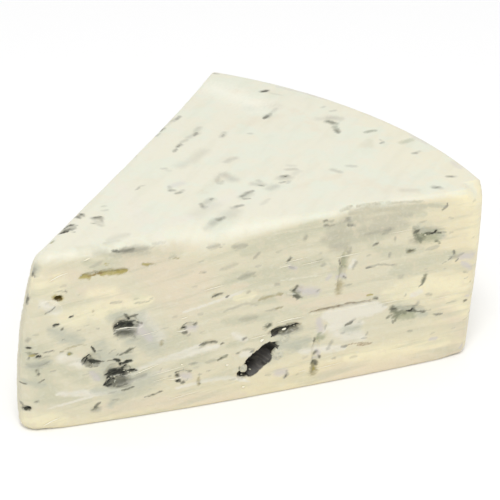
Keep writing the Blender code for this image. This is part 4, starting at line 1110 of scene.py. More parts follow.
def pocket_depth(spots, pocket):
    """How deep one pocket is at each spot, in millimetres."""
    reach, height, length, width, depth, turn = pocket
    angle = math.radians(turn)
    along = (spots[:, 0] - reach) * math.cos(angle) + (spots[:, 1] - height) * math.sin(angle)
    across = (spots[:, 1] - height) * math.cos(angle) - (spots[:, 0] - reach) * math.sin(angle)
    out = (along / (length / 2)) ** 2 + (across / (width / 2)) ** 2
    return depth * np.clip(1.0 - out, 0.0, 1.0) ** POCKET_CURVE


def back_pockets():
    """Pockets over the back cut, none nearer to another than the gap."""
    draw = random.Random(BACK_POCKET_SEED)
    placed = [BACK_CAVITY]
    while len(placed) <= BACK_POCKET_COUNT:
        reach = draw.uniform(*BACK_POCKET_REACH)
        height = draw.uniform(*BACK_POCKET_HEIGHT)
        length = draw.uniform(*BACK_POCKET_LENGTH)
        width = max(BACK_POCKET_LEAST_WIDTH, length * draw.uniform(*BACK_POCKET_SLIMNESS))
        depth = draw.uniform(*BACK_POCKET_DEPTH)
        turn = draw.uniform(*BACK_POCKET_TURN)
        apart = (
            math.hypot(reach - other[0], height - other[1]) - (length + other[2]) / 2
            for other in placed
        )
        if min(apart) > BACK_POCKET_GAP:
            placed.append((reach, height, length, width, depth, turn))
    return placed


def back_marks():
    """Marks on the back cut, which isn't seen in the photo: dark in its pockets, and a scatter."""
    marks = {kind: [] for kind in MARK_KINDS}
    draw = random.Random(BACK_POCKET_SEED)

    def stroke(kind, width, reach, height, length, turn):
        angle = math.radians(turn)
        half = Vector((math.cos(angle), math.sin(angle))) * length / 2
        middle = Vector((reach, height))
        marks[kind].append((width, tuple(middle - half), tuple(middle + half)))

    for reach, height, length, width, _, turn in back_pockets():
        if width > MOULDY_WIDTH and length < LONG_POCKET:
            stroke("ink", width * 0.45, reach, height + width * 0.12, length * 0.5, turn)
            stroke("grey", width * 0.45, reach - 0.3, height - width * 0.28, length * 0.6, turn)
            for _ in range(BACK_FLECKS):
                away = Vector((draw.uniform(-1, 1) * length / 2, draw.uniform(0.1, 0.7) * width))
                stroke("ink", 0.5, reach + away.x, height + away.y, 1.6, draw.uniform(-10, 30))
            stroke("haze", width * 1.3, reach + 1.5, height - 0.8, length, turn)
        elif width > RINGED_WIDTH and length < LONG_POCKET:
            stroke("lilac", width * 0.7, reach + 0.4, height, length * 0.5, turn)
            stroke("ink", 0.5, reach - length * 0.3, height + 0.2, width * 0.7, 80)
            stroke("ink", 0.5, reach, height - width * 0.4, length * 0.4, turn)
        else:
            stroke("ink", width * 0.75, reach, height, length * 0.85, turn)
    for _ in range(BACK_SPECK_COUNT):
        kind = draw.choice(BACK_SPECK_KINDS)
        stroke(kind, *(draw.uniform(*limits) for limits in BACK_SPECK_LIMITS))
    for reach in BACK_NEEDLE_REACHES:
        height = draw.uniform(*BACK_NEEDLE_HEIGHT)
        stroke("grey", 1.0, reach, height, 7.0, 86)
        stroke("green", 1.2, reach - 0.2, height - 1.0, 4.0, 86)
        stroke("olive", 0.8, reach - 0.4, height - 4.6, 1.8, 88)
    for _ in range(BACK_CLOUD_COUNT):
        place = [draw.uniform(*limits) for limits in BACK_CLOUD_LIMITS]
        stroke("haze", *place, BACK_CLOUD_LENGTH, BACK_CLOUD_TURN)
    return marks


def front_specks():
    """Faint specks strewn over the front cut, by chance."""
    draw = random.Random(SPECK_SEED)
    marks = {kind: [] for kind in SPECK_KINDS}
    for _ in range(SPECK_COUNT):
        reach = draw.uniform(*SPECK_REACH)
        height = draw.uniform(*SPECK_HEIGHT)
        end = (reach + draw.uniform(*SPECK_LENGTH), height + SPECK_RISE)
        kind = draw.choice(SPECK_KINDS)
        marks[kind].append((draw.uniform(*SPECK_WIDTH), (reach, height), end))
    return marks


def read_points(mesh):
    points = np.empty(len(mesh.vertices) * 3, np.float32)
    mesh.vertices.foreach_get("co", points)
    return points.reshape(-1, 3)


def paint_wedge(mesh, shift):
    """Stores on each point which side it faces, what marks cover it and how deep its pocket is."""
    count = len(mesh.vertices)
    wheel = (read_points(mesh) - np.array(shift)) / MM
    normals = np.empty(count * 3, np.float32)
    mesh.vertex_normals.foreach_get("vector", normals)
    normals = normals.reshape(-1, 3)
    towards_front = normals @ np.array(right_of(FRONT_HEADING))
    towards_back = normals @ -np.array(right_of(BACK_HEADING))
    towards = (towards_front, towards_back, normals[:, 2], -normals[:, 2])
    faces = {
        name: smooth_steps(facing, *steps)
        for (name, steps), facing in zip(SIDE_STEPS.items(), towards)
    }
    sides = sum(faces.values())
    on_rind = smooth_steps(np.linalg.norm(wheel[:, :2], axis=1), *RIND_REACH)
    on_rind = on_rind * smooth_steps(normals[:, 0], *RIND_FACING)
    faces["on_rind"] = on_rind * np.clip(1.0 - sides, 0.0, 1.0)

    front = np.stack([wheel @ np.array(FRONT_HEADING), wheel[:, 2], wheel[:, 1]], 1)
    back = np.stack([wheel @ np.array(BACK_HEADING), wheel[:, 2], wheel[:, 1]], 1)
    cover = {kind: np.zeros(count, np.float32) for kind in MARK_KINDS}
    pit = np.zeros(count, np.float32)

    facing = np.flatnonzero(towards_front > PAINTED_FACING["front"])
    spots = np.zeros((count, 2))
    spots[facing] = spread(front[facing], *FRONT_WANDER)
    spots[facing] += spread(front[facing], *FRONT_FINE_WANDER) - front[facing, :2]
    paint(cover, spots, facing, FRONT_MARKS)
    paint(cover, spots, facing, front_specks())
    rough = spread(front[facing], *FRONT_POCKET_WANDER)
    for name, pocket in FRONT_POCKETS.items():
        depth = pocket_depth(rough, pocket)
        pit[facing] = np.maximum(pit[facing], depth)
        # The cavity is painted dark by its depth: its mould, and painted shade deep inside it.
        if name == DARK_POCKET:
            dark = smooth_steps(depth, *DARK_POCKET_DEPTHS)
            cover["hollow"][facing] = np.maximum(cover["hollow"][facing], dark)

    facing = np.flatnonzero(towards_back > PAINTED_FACING["back"])
    spots[facing] = spread(back[facing], *BACK_WANDER)
    paint(cover, spots, facing, back_marks())
    for pocket in back_pockets():
        pit[facing] = np.maximum(pit[facing], pocket_depth(spots[facing], pocket))

    facing = np.flatnonzero(normals[:, 2] > PAINTED_FACING["top"])
    spots[facing] = spread(wheel[facing], *TOP_WANDER)
    paint(cover, spots, facing, TOP_MARKS)

    # The paste is warmer low down, by the rind and most of all along the foot.
    reach, height = front[:, 0], front[:, 1]
    warm = smooth_steps(12.0 - height, 0.0, 12.0) * smooth_steps(reach, 20.0, 60.0)
    warm = np.maximum(warm, smooth_steps(reach, 78.0, 96.0) * 0.8)
    warm = np.maximum(warm, smooth_steps(3.5 - height, 0.0, 3.5) * 0.7)
    store(mesh, {**faces, **cover, "pit": pit, "warm": warm})


def store(mesh, values):
    for name, value in values.items():
        attribute = mesh.attributes.new(name, "FLOAT", "POINT")
        attribute.data.foreach_set("value", np.ascontiguousarray(value, np.float32))


class Graph:
    """Short calls that add nodes to a tree and join them. A value is a number or a socket."""

    def __init__(self, tree):
        self.tree = tree
        self.shader = tree.type == "SHADER"

    def feed(self, socket, value):
        if isinstance(value, bpy.types.NodeSocket):
            self.tree.links.new(value, socket)
        else:
            socket.default_value = value

    def node(self, kind, inputs=(), **settings):
        node = self.tree.nodes.new(kind)
        for name, value in settings.items():
            setattr(node, name, value)
        for name, value in dict(inputs).items():
            self.feed(node.inputs[name], value)
        return node

    def math(self, operation, first, second=0.0, clamp=False):
        node = self.node("ShaderNodeMath", operation=operation, use_clamp=clamp)
        self.feed(node.inputs[0], first)
        self.feed(node.inputs[1], second)
        return node.outputs[0]

    def add(self, *values):
        total = values[0]
        for value in values[1:]:
            total = self.math("ADD", total, value)
        return total

    def times(self, *values):
        total = values[0]
        for value in values[1:]:
            total = self.math("MULTIPLY", total, value)
        return total

    def flip(self, value):
        return self.math("SUBTRACT", 1.0, value, clamp=True)

    def off_middle(self, value, *weights):
        """A noise's distance from its middle, weighted."""
        return self.times(self.math("SUBTRACT", value, 0.5), *weights)

    def vector_math(self, operation, first, second=None, scale=None):
        node = self.node("ShaderNodeVectorMath", operation=operation)
        self.feed(node.inputs[0], first)
        if second is not None:
            self.feed(node.inputs[1], second)
        if scale is not None:
            self.feed(node.inputs["Scale"], scale)
        return node.outputs["Value" if operation == "DOT_PRODUCT" else "Vector"]

    def combine(self, x, y, z):
        return self.node("ShaderNodeCombineXYZ", {"X": x, "Y": y, "Z": z}).outputs[0]

    def attribute(self, name, kind="FLOAT"):
        if self.shader:
            return self.node("ShaderNodeAttribute", attribute_name=name).outputs["Fac"]
        node = self.node("GeometryNodeInputNamedAttribute", {"Name": name}, data_type=kind)
        return node.outputs["Attribute"]

    def on_cuts(self):
        return self.math("ADD", self.attribute("on_front"), self.attribute("on_back"), clamp=True)

    def position_mm(self):
        if self.shader:
            place = self.node("ShaderNodeTexCoord").outputs["Object"]
        else:
            place = self.node("GeometryNodeInputPosition").outputs[0]
        return self.vector_math("SCALE", place, scale=1 / MM)

    def noise(self, vector, scale, detail=2.0, roughness=0.5, distortion=0.0):
        settings = {"Vector": vector, "Scale": scale, "Detail": detail, "Roughness": roughness}
        node = self.node("ShaderNodeTexNoise", {**settings, "Distortion": distortion})
        return node.outputs[0]

    def step(self, value, low, high):
        """0 at low, 1 at high and smooth between, whichever of them is the greater."""
        settings = {"Value": value, "From Min": low, "From Max": high}
        node = self.node("ShaderNodeMapRange", settings, interpolation_type="SMOOTHSTEP")
        return node.outputs[0]

    def blend(self, share, first, second):
        """Two numbers mixed by a share."""
        node = self.node("ShaderNodeMix", data_type="FLOAT")
        self.feed(node.inputs[0], share)
        self.feed(node.inputs[2], first)
        self.feed(node.inputs[3], second)
        return node.outputs[0]

    def colour(self, share, first, second):
        node = self.node("ShaderNodeMix", data_type="RGBA")
        self.feed(node.inputs[0], share)
        for socket, value in ((node.inputs[6], first), (node.inputs[7], second)):
            self.feed(socket, value if isinstance(value, bpy.types.NodeSocket) else (*value, 1.0))
        return node.outputs[2]

    def push(self, geometry, distance):
        """Moves each point outwards along its normal."""
        normal = self.node("GeometryNodeInputNormal").outputs[0]
        offset = self.vector_math("SCALE", normal, scale=distance)
        return self.node("GeometryNodeSetPosition", {"Geometry": geometry, "Offset": offset}).outputs[0]

    def finish(self, solid, material):
        """Makes the result plain, gives it smooth faces and its material, and ends the tree."""
        plain = self.node("GeometryNodeRealizeInstances", {"Geometry": solid}).outputs[0]
        smooth = self.node("GeometryNodeSetShadeSmooth", {"Geometry": plain}).outputs[0]
        dressed = self.node("GeometryNodeSetMaterial", {"Geometry": smooth, "Material": material})
        self.feed(self.node("NodeGroupOutput").inputs[0], dressed.outputs[0])

    def finish_lumps(self, placed, noise_scale, noise_detail, unevenness, material):
        """Makes balls uneven by noise and ends the tree. The unevenness is one or more factors."""
        plain = self.node("GeometryNodeRealizeInstances", {"Geometry": placed}).outputs[0]
        swell = self.off_middle(self.noise(self.position_mm(), noise_scale, noise_detail), *unevenness)
        self.finish(self.push(plain, swell), material)


def cut_streaks(g, place, shift):
    """Noise drawn out along the knife's path on the cuts, and along the back edge on the top.

    It gives the broad streaks, the fine ones, and a place that draws any other noise out so."""
    wheel = g.vector_math("SUBTRACT", place, tuple(value / MM for value in shift))
    on_back = g.attribute("on_back")
    height = g.vector_math("DOT_PRODUCT", wheel, (0.0, 0.0, 1.0))
    reach = g.blend(
        on_back,
        g.vector_math("DOT_PRODUCT", wheel, tuple(FRONT_HEADING)),
        g.vector_math("DOT_PRODUCT", wheel, tuple(BACK_HEADING)),
    )
    climb = g.math("SUBTRACT", g.times(reach, KNIFE_CLIMB), g.times(reach, reach, KNIFE_LEVELLING))
    across = g.math("SUBTRACT", height, climb)
    along_top = g.vector_math("DOT_PRODUCT", wheel, tuple(BACK_HEADING))
    across_top = g.vector_math("DOT_PRODUCT", wheel, tuple(right_of(BACK_HEADING)))
    on_top = g.attribute("on_top")
    side = g.times(on_back, 40.0)
    broad = g.blend(
        on_top,
        g.noise(g.combine(g.times(reach, 0.06), g.times(across, 0.50), side), 1.0, 3.0, 0.55, 0.4),
        g.noise(g.combine(g.times(along_top, 0.08), g.times(across_top, 0.35), 70.0), 1.0, 2.0),
    )
    fine = g.noise(g.combine(g.times(reach, 0.28), g.times(across, 2.6), side), 1.0, 3.0, 0.6)
    drawn_reach = g.times(g.blend(on_top, reach, along_top), 0.60)
    drawn_across = g.times(g.blend(on_top, across, across_top), 1.30)
    return broad, fine, g.combine(drawn_reach, drawn_across, side)


def dark_cover(g, drawn, fine):
    """Where the dark mould and the painted shade of the cavity show, and how their edges are torn by grain
    and streaks.
    """
    grain = g.noise(drawn, 1.5, 2.0, 0.55)
    fleck = g.noise(drawn, 0.75, 3.0, 0.6)
    torn = g.add(g.off_middle(grain, 1.0), g.off_middle(fine, 0.5), g.off_middle(fleck, 0.7))
    torn = g.times(torn, g.blend(g.attribute("on_top"), 1.0, 0.6))
    ink = g.attribute("ink")
    solid = g.times(g.step(g.add(ink, g.times(torn, 0.8)), 0.32, 0.80), g.step(ink, 0.06, 0.25))
    solid = g.math("MAXIMUM", solid, g.step(ink, 0.62, 0.84))
    shown = g.times(solid, g.flip(g.times(g.step(g.attribute("pale"), 0.45, 0.7), 0.6)))
    # The hollow cover is the painted shade in the cavity and under the arm's lip.
    hollow = g.step(g.add(g.attribute("hollow"), g.times(torn, 0.15)), 0.28, 0.66)
    return g.math("MAXIMUM", shown, hollow), torn, grain


def new_tree(name, inputs):
    """A geometry tree with its named inputs, the calls that fill it, and what it is given."""
    tree = bpy.data.node_groups.new(name, "GeometryNodeTree")
    for label, kind in {"Geometry": "Geometry", **inputs}.items():
        tree.interface.new_socket(label, in_out="INPUT", socket_type="NodeSocket" + kind)
    tree.interface.new_socket("Geometry", in_out="OUTPUT", socket_type="NodeSocketGeometry")
    g = Graph(tree)
    return tree, g, g.node("NodeGroupInput").outputs


def relief_tree(material, shift):
    """Geometry nodes that sink the paste inwards: pockets, mould, grain and the knife's grooves."""
    depths = ("Pocket depth", "Mould depth", "Grain depth", "Drag depth")
    tree, g, given = new_tree("paste_relief", dict.fromkeys(depths, "Float"))
    place = g.position_mm()
    broad, fine, drawn = cut_streaks(g, place, shift)
    dark, _, _ = dark_cover(g, drawn, fine)
    cut = g.on_cuts()
    rough = g.noise(place, 0.9, 4.0, 0.6)
    lumpy = g.noise(place, 0.22, 2.0, 0.5)
    exposed = g.flip(g.attribute("on_foot"))
    smooth = g.flip(g.times(g.attribute("on_top"), 0.75))
    floor_rough = g.blend(g.noise(place, 1.3, 3.0, 0.7), 0.75, 1.2)
    depth = g.add(
        g.times(g.attribute("pit"), MM, given["Pocket depth"], floor_rough),
        g.times(dark, given["Mould depth"]),
        g.times(rough, given["Grain depth"], smooth),
        g.times(lumpy, given["Grain depth"], 1.6),
        g.times(g.step(broad, 0.35, 0.75), given["Drag depth"], cut),
        g.times(g.step(fine, 0.40, 0.75), given["Drag depth"], 0.45, cut),
    )
    g.finish(g.push(given["Geometry"], g.times(depth, exposed, -1.0)), material)
    return tree


def thread_tree(material):
    """Geometry nodes that turn paths into tapered threads of cream."""
    tree, g, given = new_tree("cream_threads", {"Thickness": "Float"})
    curve = g.node("GeometryNodeMeshToCurve", {"Mesh": given["Geometry"]}).outputs[0]
    travel = g.node("GeometryNodeSplineParameter").outputs["Factor"]
    taper = g.math("MAXIMUM", g.math("SINE", g.times(travel, math.pi)), 0.0)
    wobble = g.blend(g.noise(g.position_mm(), 1.1, 2.0), 0.55, 1.35)
    radius = g.times(g.math("POWER", taper, 0.6), g.attribute("radius"), given["Thickness"], wobble)
    ring = g.node("GeometryNodeCurvePrimitiveCircle", {"Resolution": 7, "Radius": 1.0}, mode="RADIUS")
    settings = {"Curve": curve, "Profile Curve": ring.outputs["Curve"], "Fill Caps": True}
    settings["Scale"] = g.math("MAXIMUM", radius, LEAST_THREAD_RADIUS * MM)
    g.finish(g.node("GeometryNodeCurveToMesh", settings).outputs[0], material)
    return tree


def set_balls(g, roundness, settings):
    """Sets a ball on each point, by the settings given."""
    ball = g.node("GeometryNodeMeshIcoSphere", {"Radius": 1.0, "Subdivisions": roundness}).outputs[0]
    return g.node("GeometryNodeInstanceOnPoints", {**settings, "Instance": ball}).outputs[0]


def lump_tree(name, material):
    """Geometry nodes that set an uneven lump on each point, by its stretch and turn."""
    tree, g, given = new_tree(name, {"Unevenness": "Float"})
    turn = g.attribute("turn", "FLOAT_VECTOR")
    settings = {"Points": given["Geometry"], "Scale": g.attribute("stretch", "FLOAT_VECTOR")}
    settings["Rotation"] = g.node("FunctionNodeEulerToRotation", {"Euler": turn}).outputs[0]
    placed = set_balls(g, LUMP_ROUNDNESS, settings)
    g.finish_lumps(placed, 1.6, 2.0, (given["Unevenness"],), material)
    return tree


def crumb_tree(material):
    """Geometry nodes that strew small crumbs where the paste is broken."""
    tree, g, given = new_tree("paste_crumbs", {"Density": "Float", "Largest": "Float", "Seed": "Int"})
    near_pit = g.step(g.attribute("pit"), 0.02, 0.25)
    near_ink = g.step(g.attribute("ink"), 0.25, 0.5)
    broken = g.math("MAXIMUM", near_pit, g.times(near_ink, 0.8))
    share = g.math("ADD", g.times(broken, 0.9), 0.006)
    density = g.times(given["Density"], share, g.step(g.on_cuts(), 0.8, 1.0))
    inputs = {"Mesh": given["Geometry"], "Density": density, "Seed": given["Seed"]}
    spots = g.node("GeometryNodeDistributePointsOnFaces", inputs)
    size = g.node("FunctionNodeRandomValue", {"Seed": given["Seed"]}, data_type="FLOAT_VECTOR")
    g.feed(size.inputs[0], (0.25, 0.25, 0.25))
    g.feed(size.inputs[1], (1.0, 0.8, 0.6))
    settings = {name: spots.outputs[name] for name in ("Points", "Rotation")}
    settings["Scale"] = g.vector_math("SCALE", size.outputs[0], scale=given["Largest"])
    placed = set_balls(g, CRUMB_ROUNDNESS, settings)
    g.finish_lumps(placed, 3.0, 1.0, (given["Largest"], 0.8), material)
    return tree


def grow(name, mesh, tree, values):
    """A new plain object: the mesh after the tree, with the values set by their sockets."""
    source = bpy.data.objects.new(name, mesh)
    bpy.context.scene.collection.objects.link(source)
    modifier = source.modifiers.new("nodes", "NODES")
    modifier.node_group = tree
    for item in tree.interface.items_tree:
        if item.in_out == "INPUT" and item.name in values:
            modifier[item.identifier] = values[item.name]
    bpy.context.view_layer.update()
    graph = bpy.context.evaluated_depsgraph_get()
    grown = source.evaluated_get(graph)
    result = bpy.data.meshes.new_from_object(grown, preserve_all_data_layers=True, depsgraph=graph)
    source.modifiers.remove(modifier)
    if not result.polygons:
        raise RuntimeError(f"{name} came out empty")
    source.data = result
    result.name = name
    return source


def keep_in_box(mesh):
    """Holds every point inside the solid's box. A piece that is far out of it has gone wrong."""
    points = read_points(mesh)
    held = points.clip(np.array(LOW_CORNER), np.array(HIGH_CORNER))
    if np.abs(points - held).max() > MOST_OUTSIDE:
        raise RuntimeError(f"{mesh.name} reaches far out of the solid's box")
    mesh.vertices.foreach_set("co", held.astype(np.float32).ravel())
    mesh.update()


def hand_over(piece, *nodes):
    """Gives a finished piece its body and what it stands for."""
    keep_in_box(piece.data)
    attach(piece, "root")
    if nodes:
        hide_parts(*nodes)


def new_material(name):
    material = bpy.data.materials.new(name)
    material.use_nodes = True
    shader = material.node_tree.nodes["Principled BSDF"]
    return material, Graph(material.node_tree), shader


def set_bump(g, shader, height_mm):
    bump = g.node("ShaderNodeBump", {"Strength": 1.0, "Distance": MM, "Height": height_mm})
    g.feed(shader.inputs["Normal"], bump.outputs[0])


def soften(shader, weight):
    """Light goes a little way into soft cheese."""
    shader.inputs["Subsurface Weight"].default_value = weight
    shader.inputs["Subsurface Radius"].default_value = LIGHT_REACH
    shader.inputs["Subsurface Scale"].default_value = LIGHT_SCALE


def veined_paste_material(colours, shift):
    """The paste with its veins, by what the strokes say is there."""
    material, g, shader = new_material("blue_veined_paste")
    place = g.position_mm()
    broad, fine, drawn = cut_streaks(g, place, shift)
    dark, torn, grain = dark_cover(g, drawn, fine)
    patch = g.noise(place, 0.35, 2.0, 0.5)
    on_top = g.attribute("on_top")
    worn = g.noise(place, 0.30, 5.0, 0.65, 0.6)
    colour = paste_colour(g, colours, place, broad, fine, patch, worn)

    def layer(below, kind, low, high, strength, on_top_strength, raggedness, tint):
        """Lays one kind of mark over the colour below, with its edge torn by noise."""
        cover = g.attribute(kind)
        edge = g.step(g.add(cover, g.times(torn, raggedness)), low, high)
        share = g.times(edge, g.step(cover, 0.02, 0.22), g.blend(on_top, strength, on_top_strength))
        return g.colour(share, below, tint)

    grey = g.colour(g.step(grain, 0.38, 0.62), colours.grey, colours.thin_grey)
    slate = g.colour(g.step(grain, 0.38, 0.68), colours.dusk, colours.thin_grey)
    # The marks from the lowest up: kind, the cover at which it starts and at which it is full, its
    # strength on the cuts and on the top, how ragged its edge is, and its tint.
    layers = (
        ("haze", 0.00, 1.10, 0.75, 0.28, 0.5, colours.haze),
        ("lilac", 0.05, 1.00, 0.75, 0.40, 0.5, colours.lilac),
        ("green", 0.05, 1.00, 0.80, 0.50, 0.6, colours.green),
        ("white", 0.05, 0.70, 0.75, 0.50, 0.5, colours.mist_paste),
        ("ink", 0.00, 0.65, 0.50, 0.40, 0.6, grey),
        ("smudge", 0.05, 1.10, 0.34, 0.20, 0.8, grey),
        ("grey", 0.10, 1.05, 0.52, 0.34, 0.8, grey),
        ("slate", 0.10, 0.95, 0.85, 0.60, 0.6, slate),
        ("moss", 0.10, 1.00, 0.74, 0.55, 0.9, colours.moss),
        ("tan", 0.10, 1.00, 0.70, 0.40, 0.8, colours.tan),
        ("olive", 0.10, 0.90, 0.85, 0.60, 0.8, colours.olive),
        ("dusk", 0.12, 0.90, 0.80, 0.80, 0.5, colours.dusk),
        ("line", 0.20, 0.90, 0.60, 0.30, 0.3, colours.stain),
        ("pale", 0.10, 1.20, 0.50, 0.60, 0.9, colours.cream),
    )
    for settings in layers:
        colour = layer(colour, *settings)
    # Near-black for the dark mould and for the painted shade in the cavity and under the arm's lip.
    inky = g.colour(g.step(grain, 0.42, 0.68), colours.ink, colours.ink_green)
    inside = g.step(g.attribute("hollow"), 0.3, 0.5)
    inky = g.colour(g.times(inside, g.step(broad, 0.40, 0.60), 0.6), inky, colours.inside)
    veiled = g.step(g.add(g.attribute("veil"), g.times(torn, 0.6)), 0.10, 0.90)
    inky = g.colour(g.times(veiled, 0.85), inky, colours.veil)
    thin = g.flip(g.times(g.step(fine, 0.50, 0.72), 0.25))
    colour = g.colour(g.times(dark, thin, g.blend(on_top, 1.0, 0.80)), colour, inky)
    colour = layer(colour, "brown", 0.30, 0.65, 0.95, 0.80, 0.4, colours.brown)
    g.feed(shader.inputs["Base Color"], colour)

    dull = g.add(g.times(dark, 0.30), g.times(g.attribute("on_rind"), 0.2), g.blend(patch, 0.30, 0.50))
    g.feed(shader.inputs["Roughness"], dull)
    small = g.noise(place, 3.4, 3.0, 0.6)
    heights = g.add(
        g.times(small, 0.045),
        g.times(fine, 0.07, g.flip(on_top)),
        g.times(worn, 0.25, g.attribute("on_rind")),
    )
    set_bump(g, shader, heights)
    soften(shader, 0.15)
    shader.inputs["Specular IOR Level"].default_value = 0.40
    return material


def paste_colour(g, colours, place, broad, fine, patch, worn):
    """The paste under its marks: broad tones, the knife's streaks and the rind."""
    on_top = g.attribute("on_top")
    cloud = g.noise(place, 0.10, 3.0, 0.55)
    mottle = g.noise(place, 0.9, 2.0, 0.5)
    # The top is painted lighter than the cuts: its bloom, and painted light from above.
    colour = g.colour(on_top, colours.cut_paste, colours.top_paste_and_light)
    warm = g.times(g.attribute("warm"), g.blend(cloud, 0.45, 1.2), g.flip(g.times(on_top, 0.7)))
    colour = g.colour(warm, colour, colours.warm_paste)
    # Broad tones laid by strokes. The shade tone, and in part the drab one, are painted shade under the upper
    # edge.
    tones = (
        ("drab_and_shade", colours.drab_and_shade_paste, 0.75, 0.35),
        ("beige", colours.beige_paste, 0.70, 0.25),
        ("butter", colours.butter_paste, 0.45, 0.40),
        ("shade", colours.shade_paste, 0.75, 0.95),
        ("mist", colours.mist_paste, 0.85, 0.60),
    )
    for kind, tint, strength, on_top_strength in tones:
        uneven = g.add(g.attribute(kind), g.off_middle(patch, 1.0), g.off_middle(broad, 0.7))
        share = g.times(g.step(uneven, 0.05, 0.95), g.step(g.attribute(kind), 0.0, 0.7))
        colour = g.colour(g.times(share, g.blend(on_top, strength, on_top_strength)), colour, tint)
    zone = g.step(cloud, 0.40, 0.62)
    cool = g.times(g.step(g.noise(place, 0.14, 4.0, 0.6), 0.46, 0.60), on_top, 0.8)
    colour = g.colour(cool, colour, colours.mint_paste)
    streaked = g.times(g.step(broad, 0.46, 0.72), g.blend(on_top, 0.60, 0.12))
    colour = g.colour(streaked, colour, colours.drab_and_shade_paste)
    bright = g.times(g.step(fine, 0.44, 0.28), g.blend(on_top, g.blend(zone, 0.04, 0.24), 0.05))
    colour = g.colour(bright, colour, colours.cream)
    ochre = g.times(g.step(mottle, 0.52, 0.72), g.blend(on_top, 0.35, 0.12))
    colour = g.colour(ochre, colour, colours.beige_paste)
    milky = g.times(g.step(mottle, 0.48, 0.28), g.blend(on_top, 0.18, 0.20))
    colour = g.colour(milky, colour, colours.mist_paste)
    colour = g.colour(g.attribute("on_rind"), colour, colours.rind)
    bloom = g.times(g.attribute("on_rind"), g.step(worn, 0.48, 0.66), 0.75)
    return g.colour(bloom, colour, colours.rind_patch)


def cream_material(colours):
    """Soft, moist cream, drawn out by the knife or standing in beads; on the beads its pale colour is partly
    a painted glint.
    """
    material, g, shader = new_material("soft_cream")
    place = g.position_mm()
    patch = g.noise(place, 0.8, 2.0)
    colour = g.colour(g.times(patch, 0.5), colours.cream, colours.warm_paste)
    g.feed(shader.inputs["Base Color"], colour)
    g.feed(shader.inputs["Roughness"], g.blend(patch, 0.22, 0.36))
    set_bump(g, shader, g.times(g.noise(place, 4.0, 2.0), 0.02))
    soften(shader, 0.2)
    return material


def crumb_material(colours):
    """Crumbs of paste, some touched with mould."""
    material, g, shader = new_material("paste_crumbs")
    place = g.position_mm()
    patch = g.noise(place, 1.4, 2.0)
    colour = g.colour(g.step(patch, 0.35, 0.65), colours.cut_paste, colours.haze)
    mouldy = g.step(g.noise(place, 0.9, 2.0), 0.55, 0.70)
    colour = g.colour(g.times(mouldy, 0.6), colour, colours.grey)
    g.feed(shader.inputs["Base Color"], colour)
    g.feed(shader.inputs["Roughness"], g.blend(patch, 0.40, 0.60))
    set_bump(g, shader, g.times(g.noise(place, 5.0, 2.0), 0.03))
    return material


def grey_curd_material(colours):
    """Curd that sits in the cavity, greyed by the mould round it."""
    material, g, shader = new_material("grey_curd")
    place = g.position_mm()
    patch = g.noise(place, 0.9, 3.0)
    colour = g.colour(g.step(patch, 0.40, 0.75), colours.curd, colours.dull_curd)
    streak = g.step(g.noise(place, 2.6, 3.0, 0.6), 0.52, 0.70)
    colour = g.colour(g.times(streak, 0.30), colour, colours.grey)
    g.feed(shader.inputs["Base Color"], colour)
    g.feed(shader.inputs["Roughness"], g.blend(patch, 0.30, 0.50))
    set_bump(g, shader, g.times(g.noise(place, 3.0, 3.0), 0.05))
    soften(shader, 0.15)
    return material


def paths_mesh(name, paths, shift):
    """Polylines on the front cut, sunk a little, each with its radius."""
    verts, edges, radii = [], [], []
    for radius, path in paths:
        first = len(verts)
        for reach, height in path:
            sunk = Vector((0.0, 0.0, -radius * THREAD_SINK * MM))
            verts.append(cut_frame("front", reach * MM, height * MM) @ sunk + Vector(shift))
            radii.append(radius * MM)
        edges += [(index, index + 1) for index in range(first, len(verts) - 1)]
    mesh = bpy.data.meshes.new(name)
    mesh.from_pydata(verts, edges, [])
    store(mesh, {"radius": np.array(radii)})
    return mesh


def smooth_path(path):
    """The path with points at even steps, rounded by a running mean."""
    path = np.array(path, float)
    lengths = np.concatenate([[0.0], np.cumsum(np.linalg.norm(np.diff(path, axis=0), axis=1))])
    count = max(int(lengths[-1] / THREAD_STEP), LEAST_THREAD_POINTS)
    at = np.linspace(0.0, lengths[-1], count)
    dense = np.stack([np.interp(at, lengths, path[:, axis]) for axis in range(2)], 1)
    for _ in range(THREAD_SMOOTHING):
        dense[1:-1] = (dense[:-2] + 2 * dense[1:-1] + dense[2:]) / 4
    return dense


def all_threads():
    """The named smears and a scatter of faint ones, all along the knife's path."""
    threads = [(radius, smooth_path(path)) for radius, *path in THREADS]
    draw = random.Random(THREAD_SEED)
    for _ in range(RANDOM_THREADS):
        reach = draw.uniform(*THREAD_REACH)
        height = draw.uniform(*THREAD_HEIGHT)
        length = min(draw.uniform(*THREAD_LENGTH), LAST_THREAD_REACH - reach)
        climb = KNIFE_CLIMB - 2 * KNIFE_LEVELLING * reach
        steps = np.linspace(0.0, length, RANDOM_THREAD_POINTS)
        path = [(reach + step, height + step * climb) for step in steps]
        if path[-1][1] < HIGHEST_THREAD_END:
            threads.append((draw.uniform(*THREAD_RADIUS), smooth_path(path)))
    return threads


def lumps_mesh(name, lumps, shift):
    """Points with the stretch and turn of a lump each."""
    verts, stretches, turns = [], [], []
    for reach, height, half_length, half_width, proud, depth, turn in lumps:
        sunk = Matrix.Translation((0, 0, -depth * MM))
        turned = Matrix.Rotation(math.radians(turn), 4, "Z")
        place = cut_frame("front", reach * MM, height * MM) @ sunk @ turned
        verts.append(place.translation + Vector(shift))
        stretches.append((half_length * MM, half_width * MM, proud * MM))
        turns.append(tuple(place.to_euler()))
    mesh = bpy.data.meshes.new(name)
    mesh.from_pydata(verts, [], [])
    for label, values in (("stretch", stretches), ("turn", turns)):
        attribute = mesh.attributes.new(label, "FLOAT_VECTOR", "POINT")
        attribute.data.foreach_set("vector", np.array(values, np.float32).ravel())
    return mesh


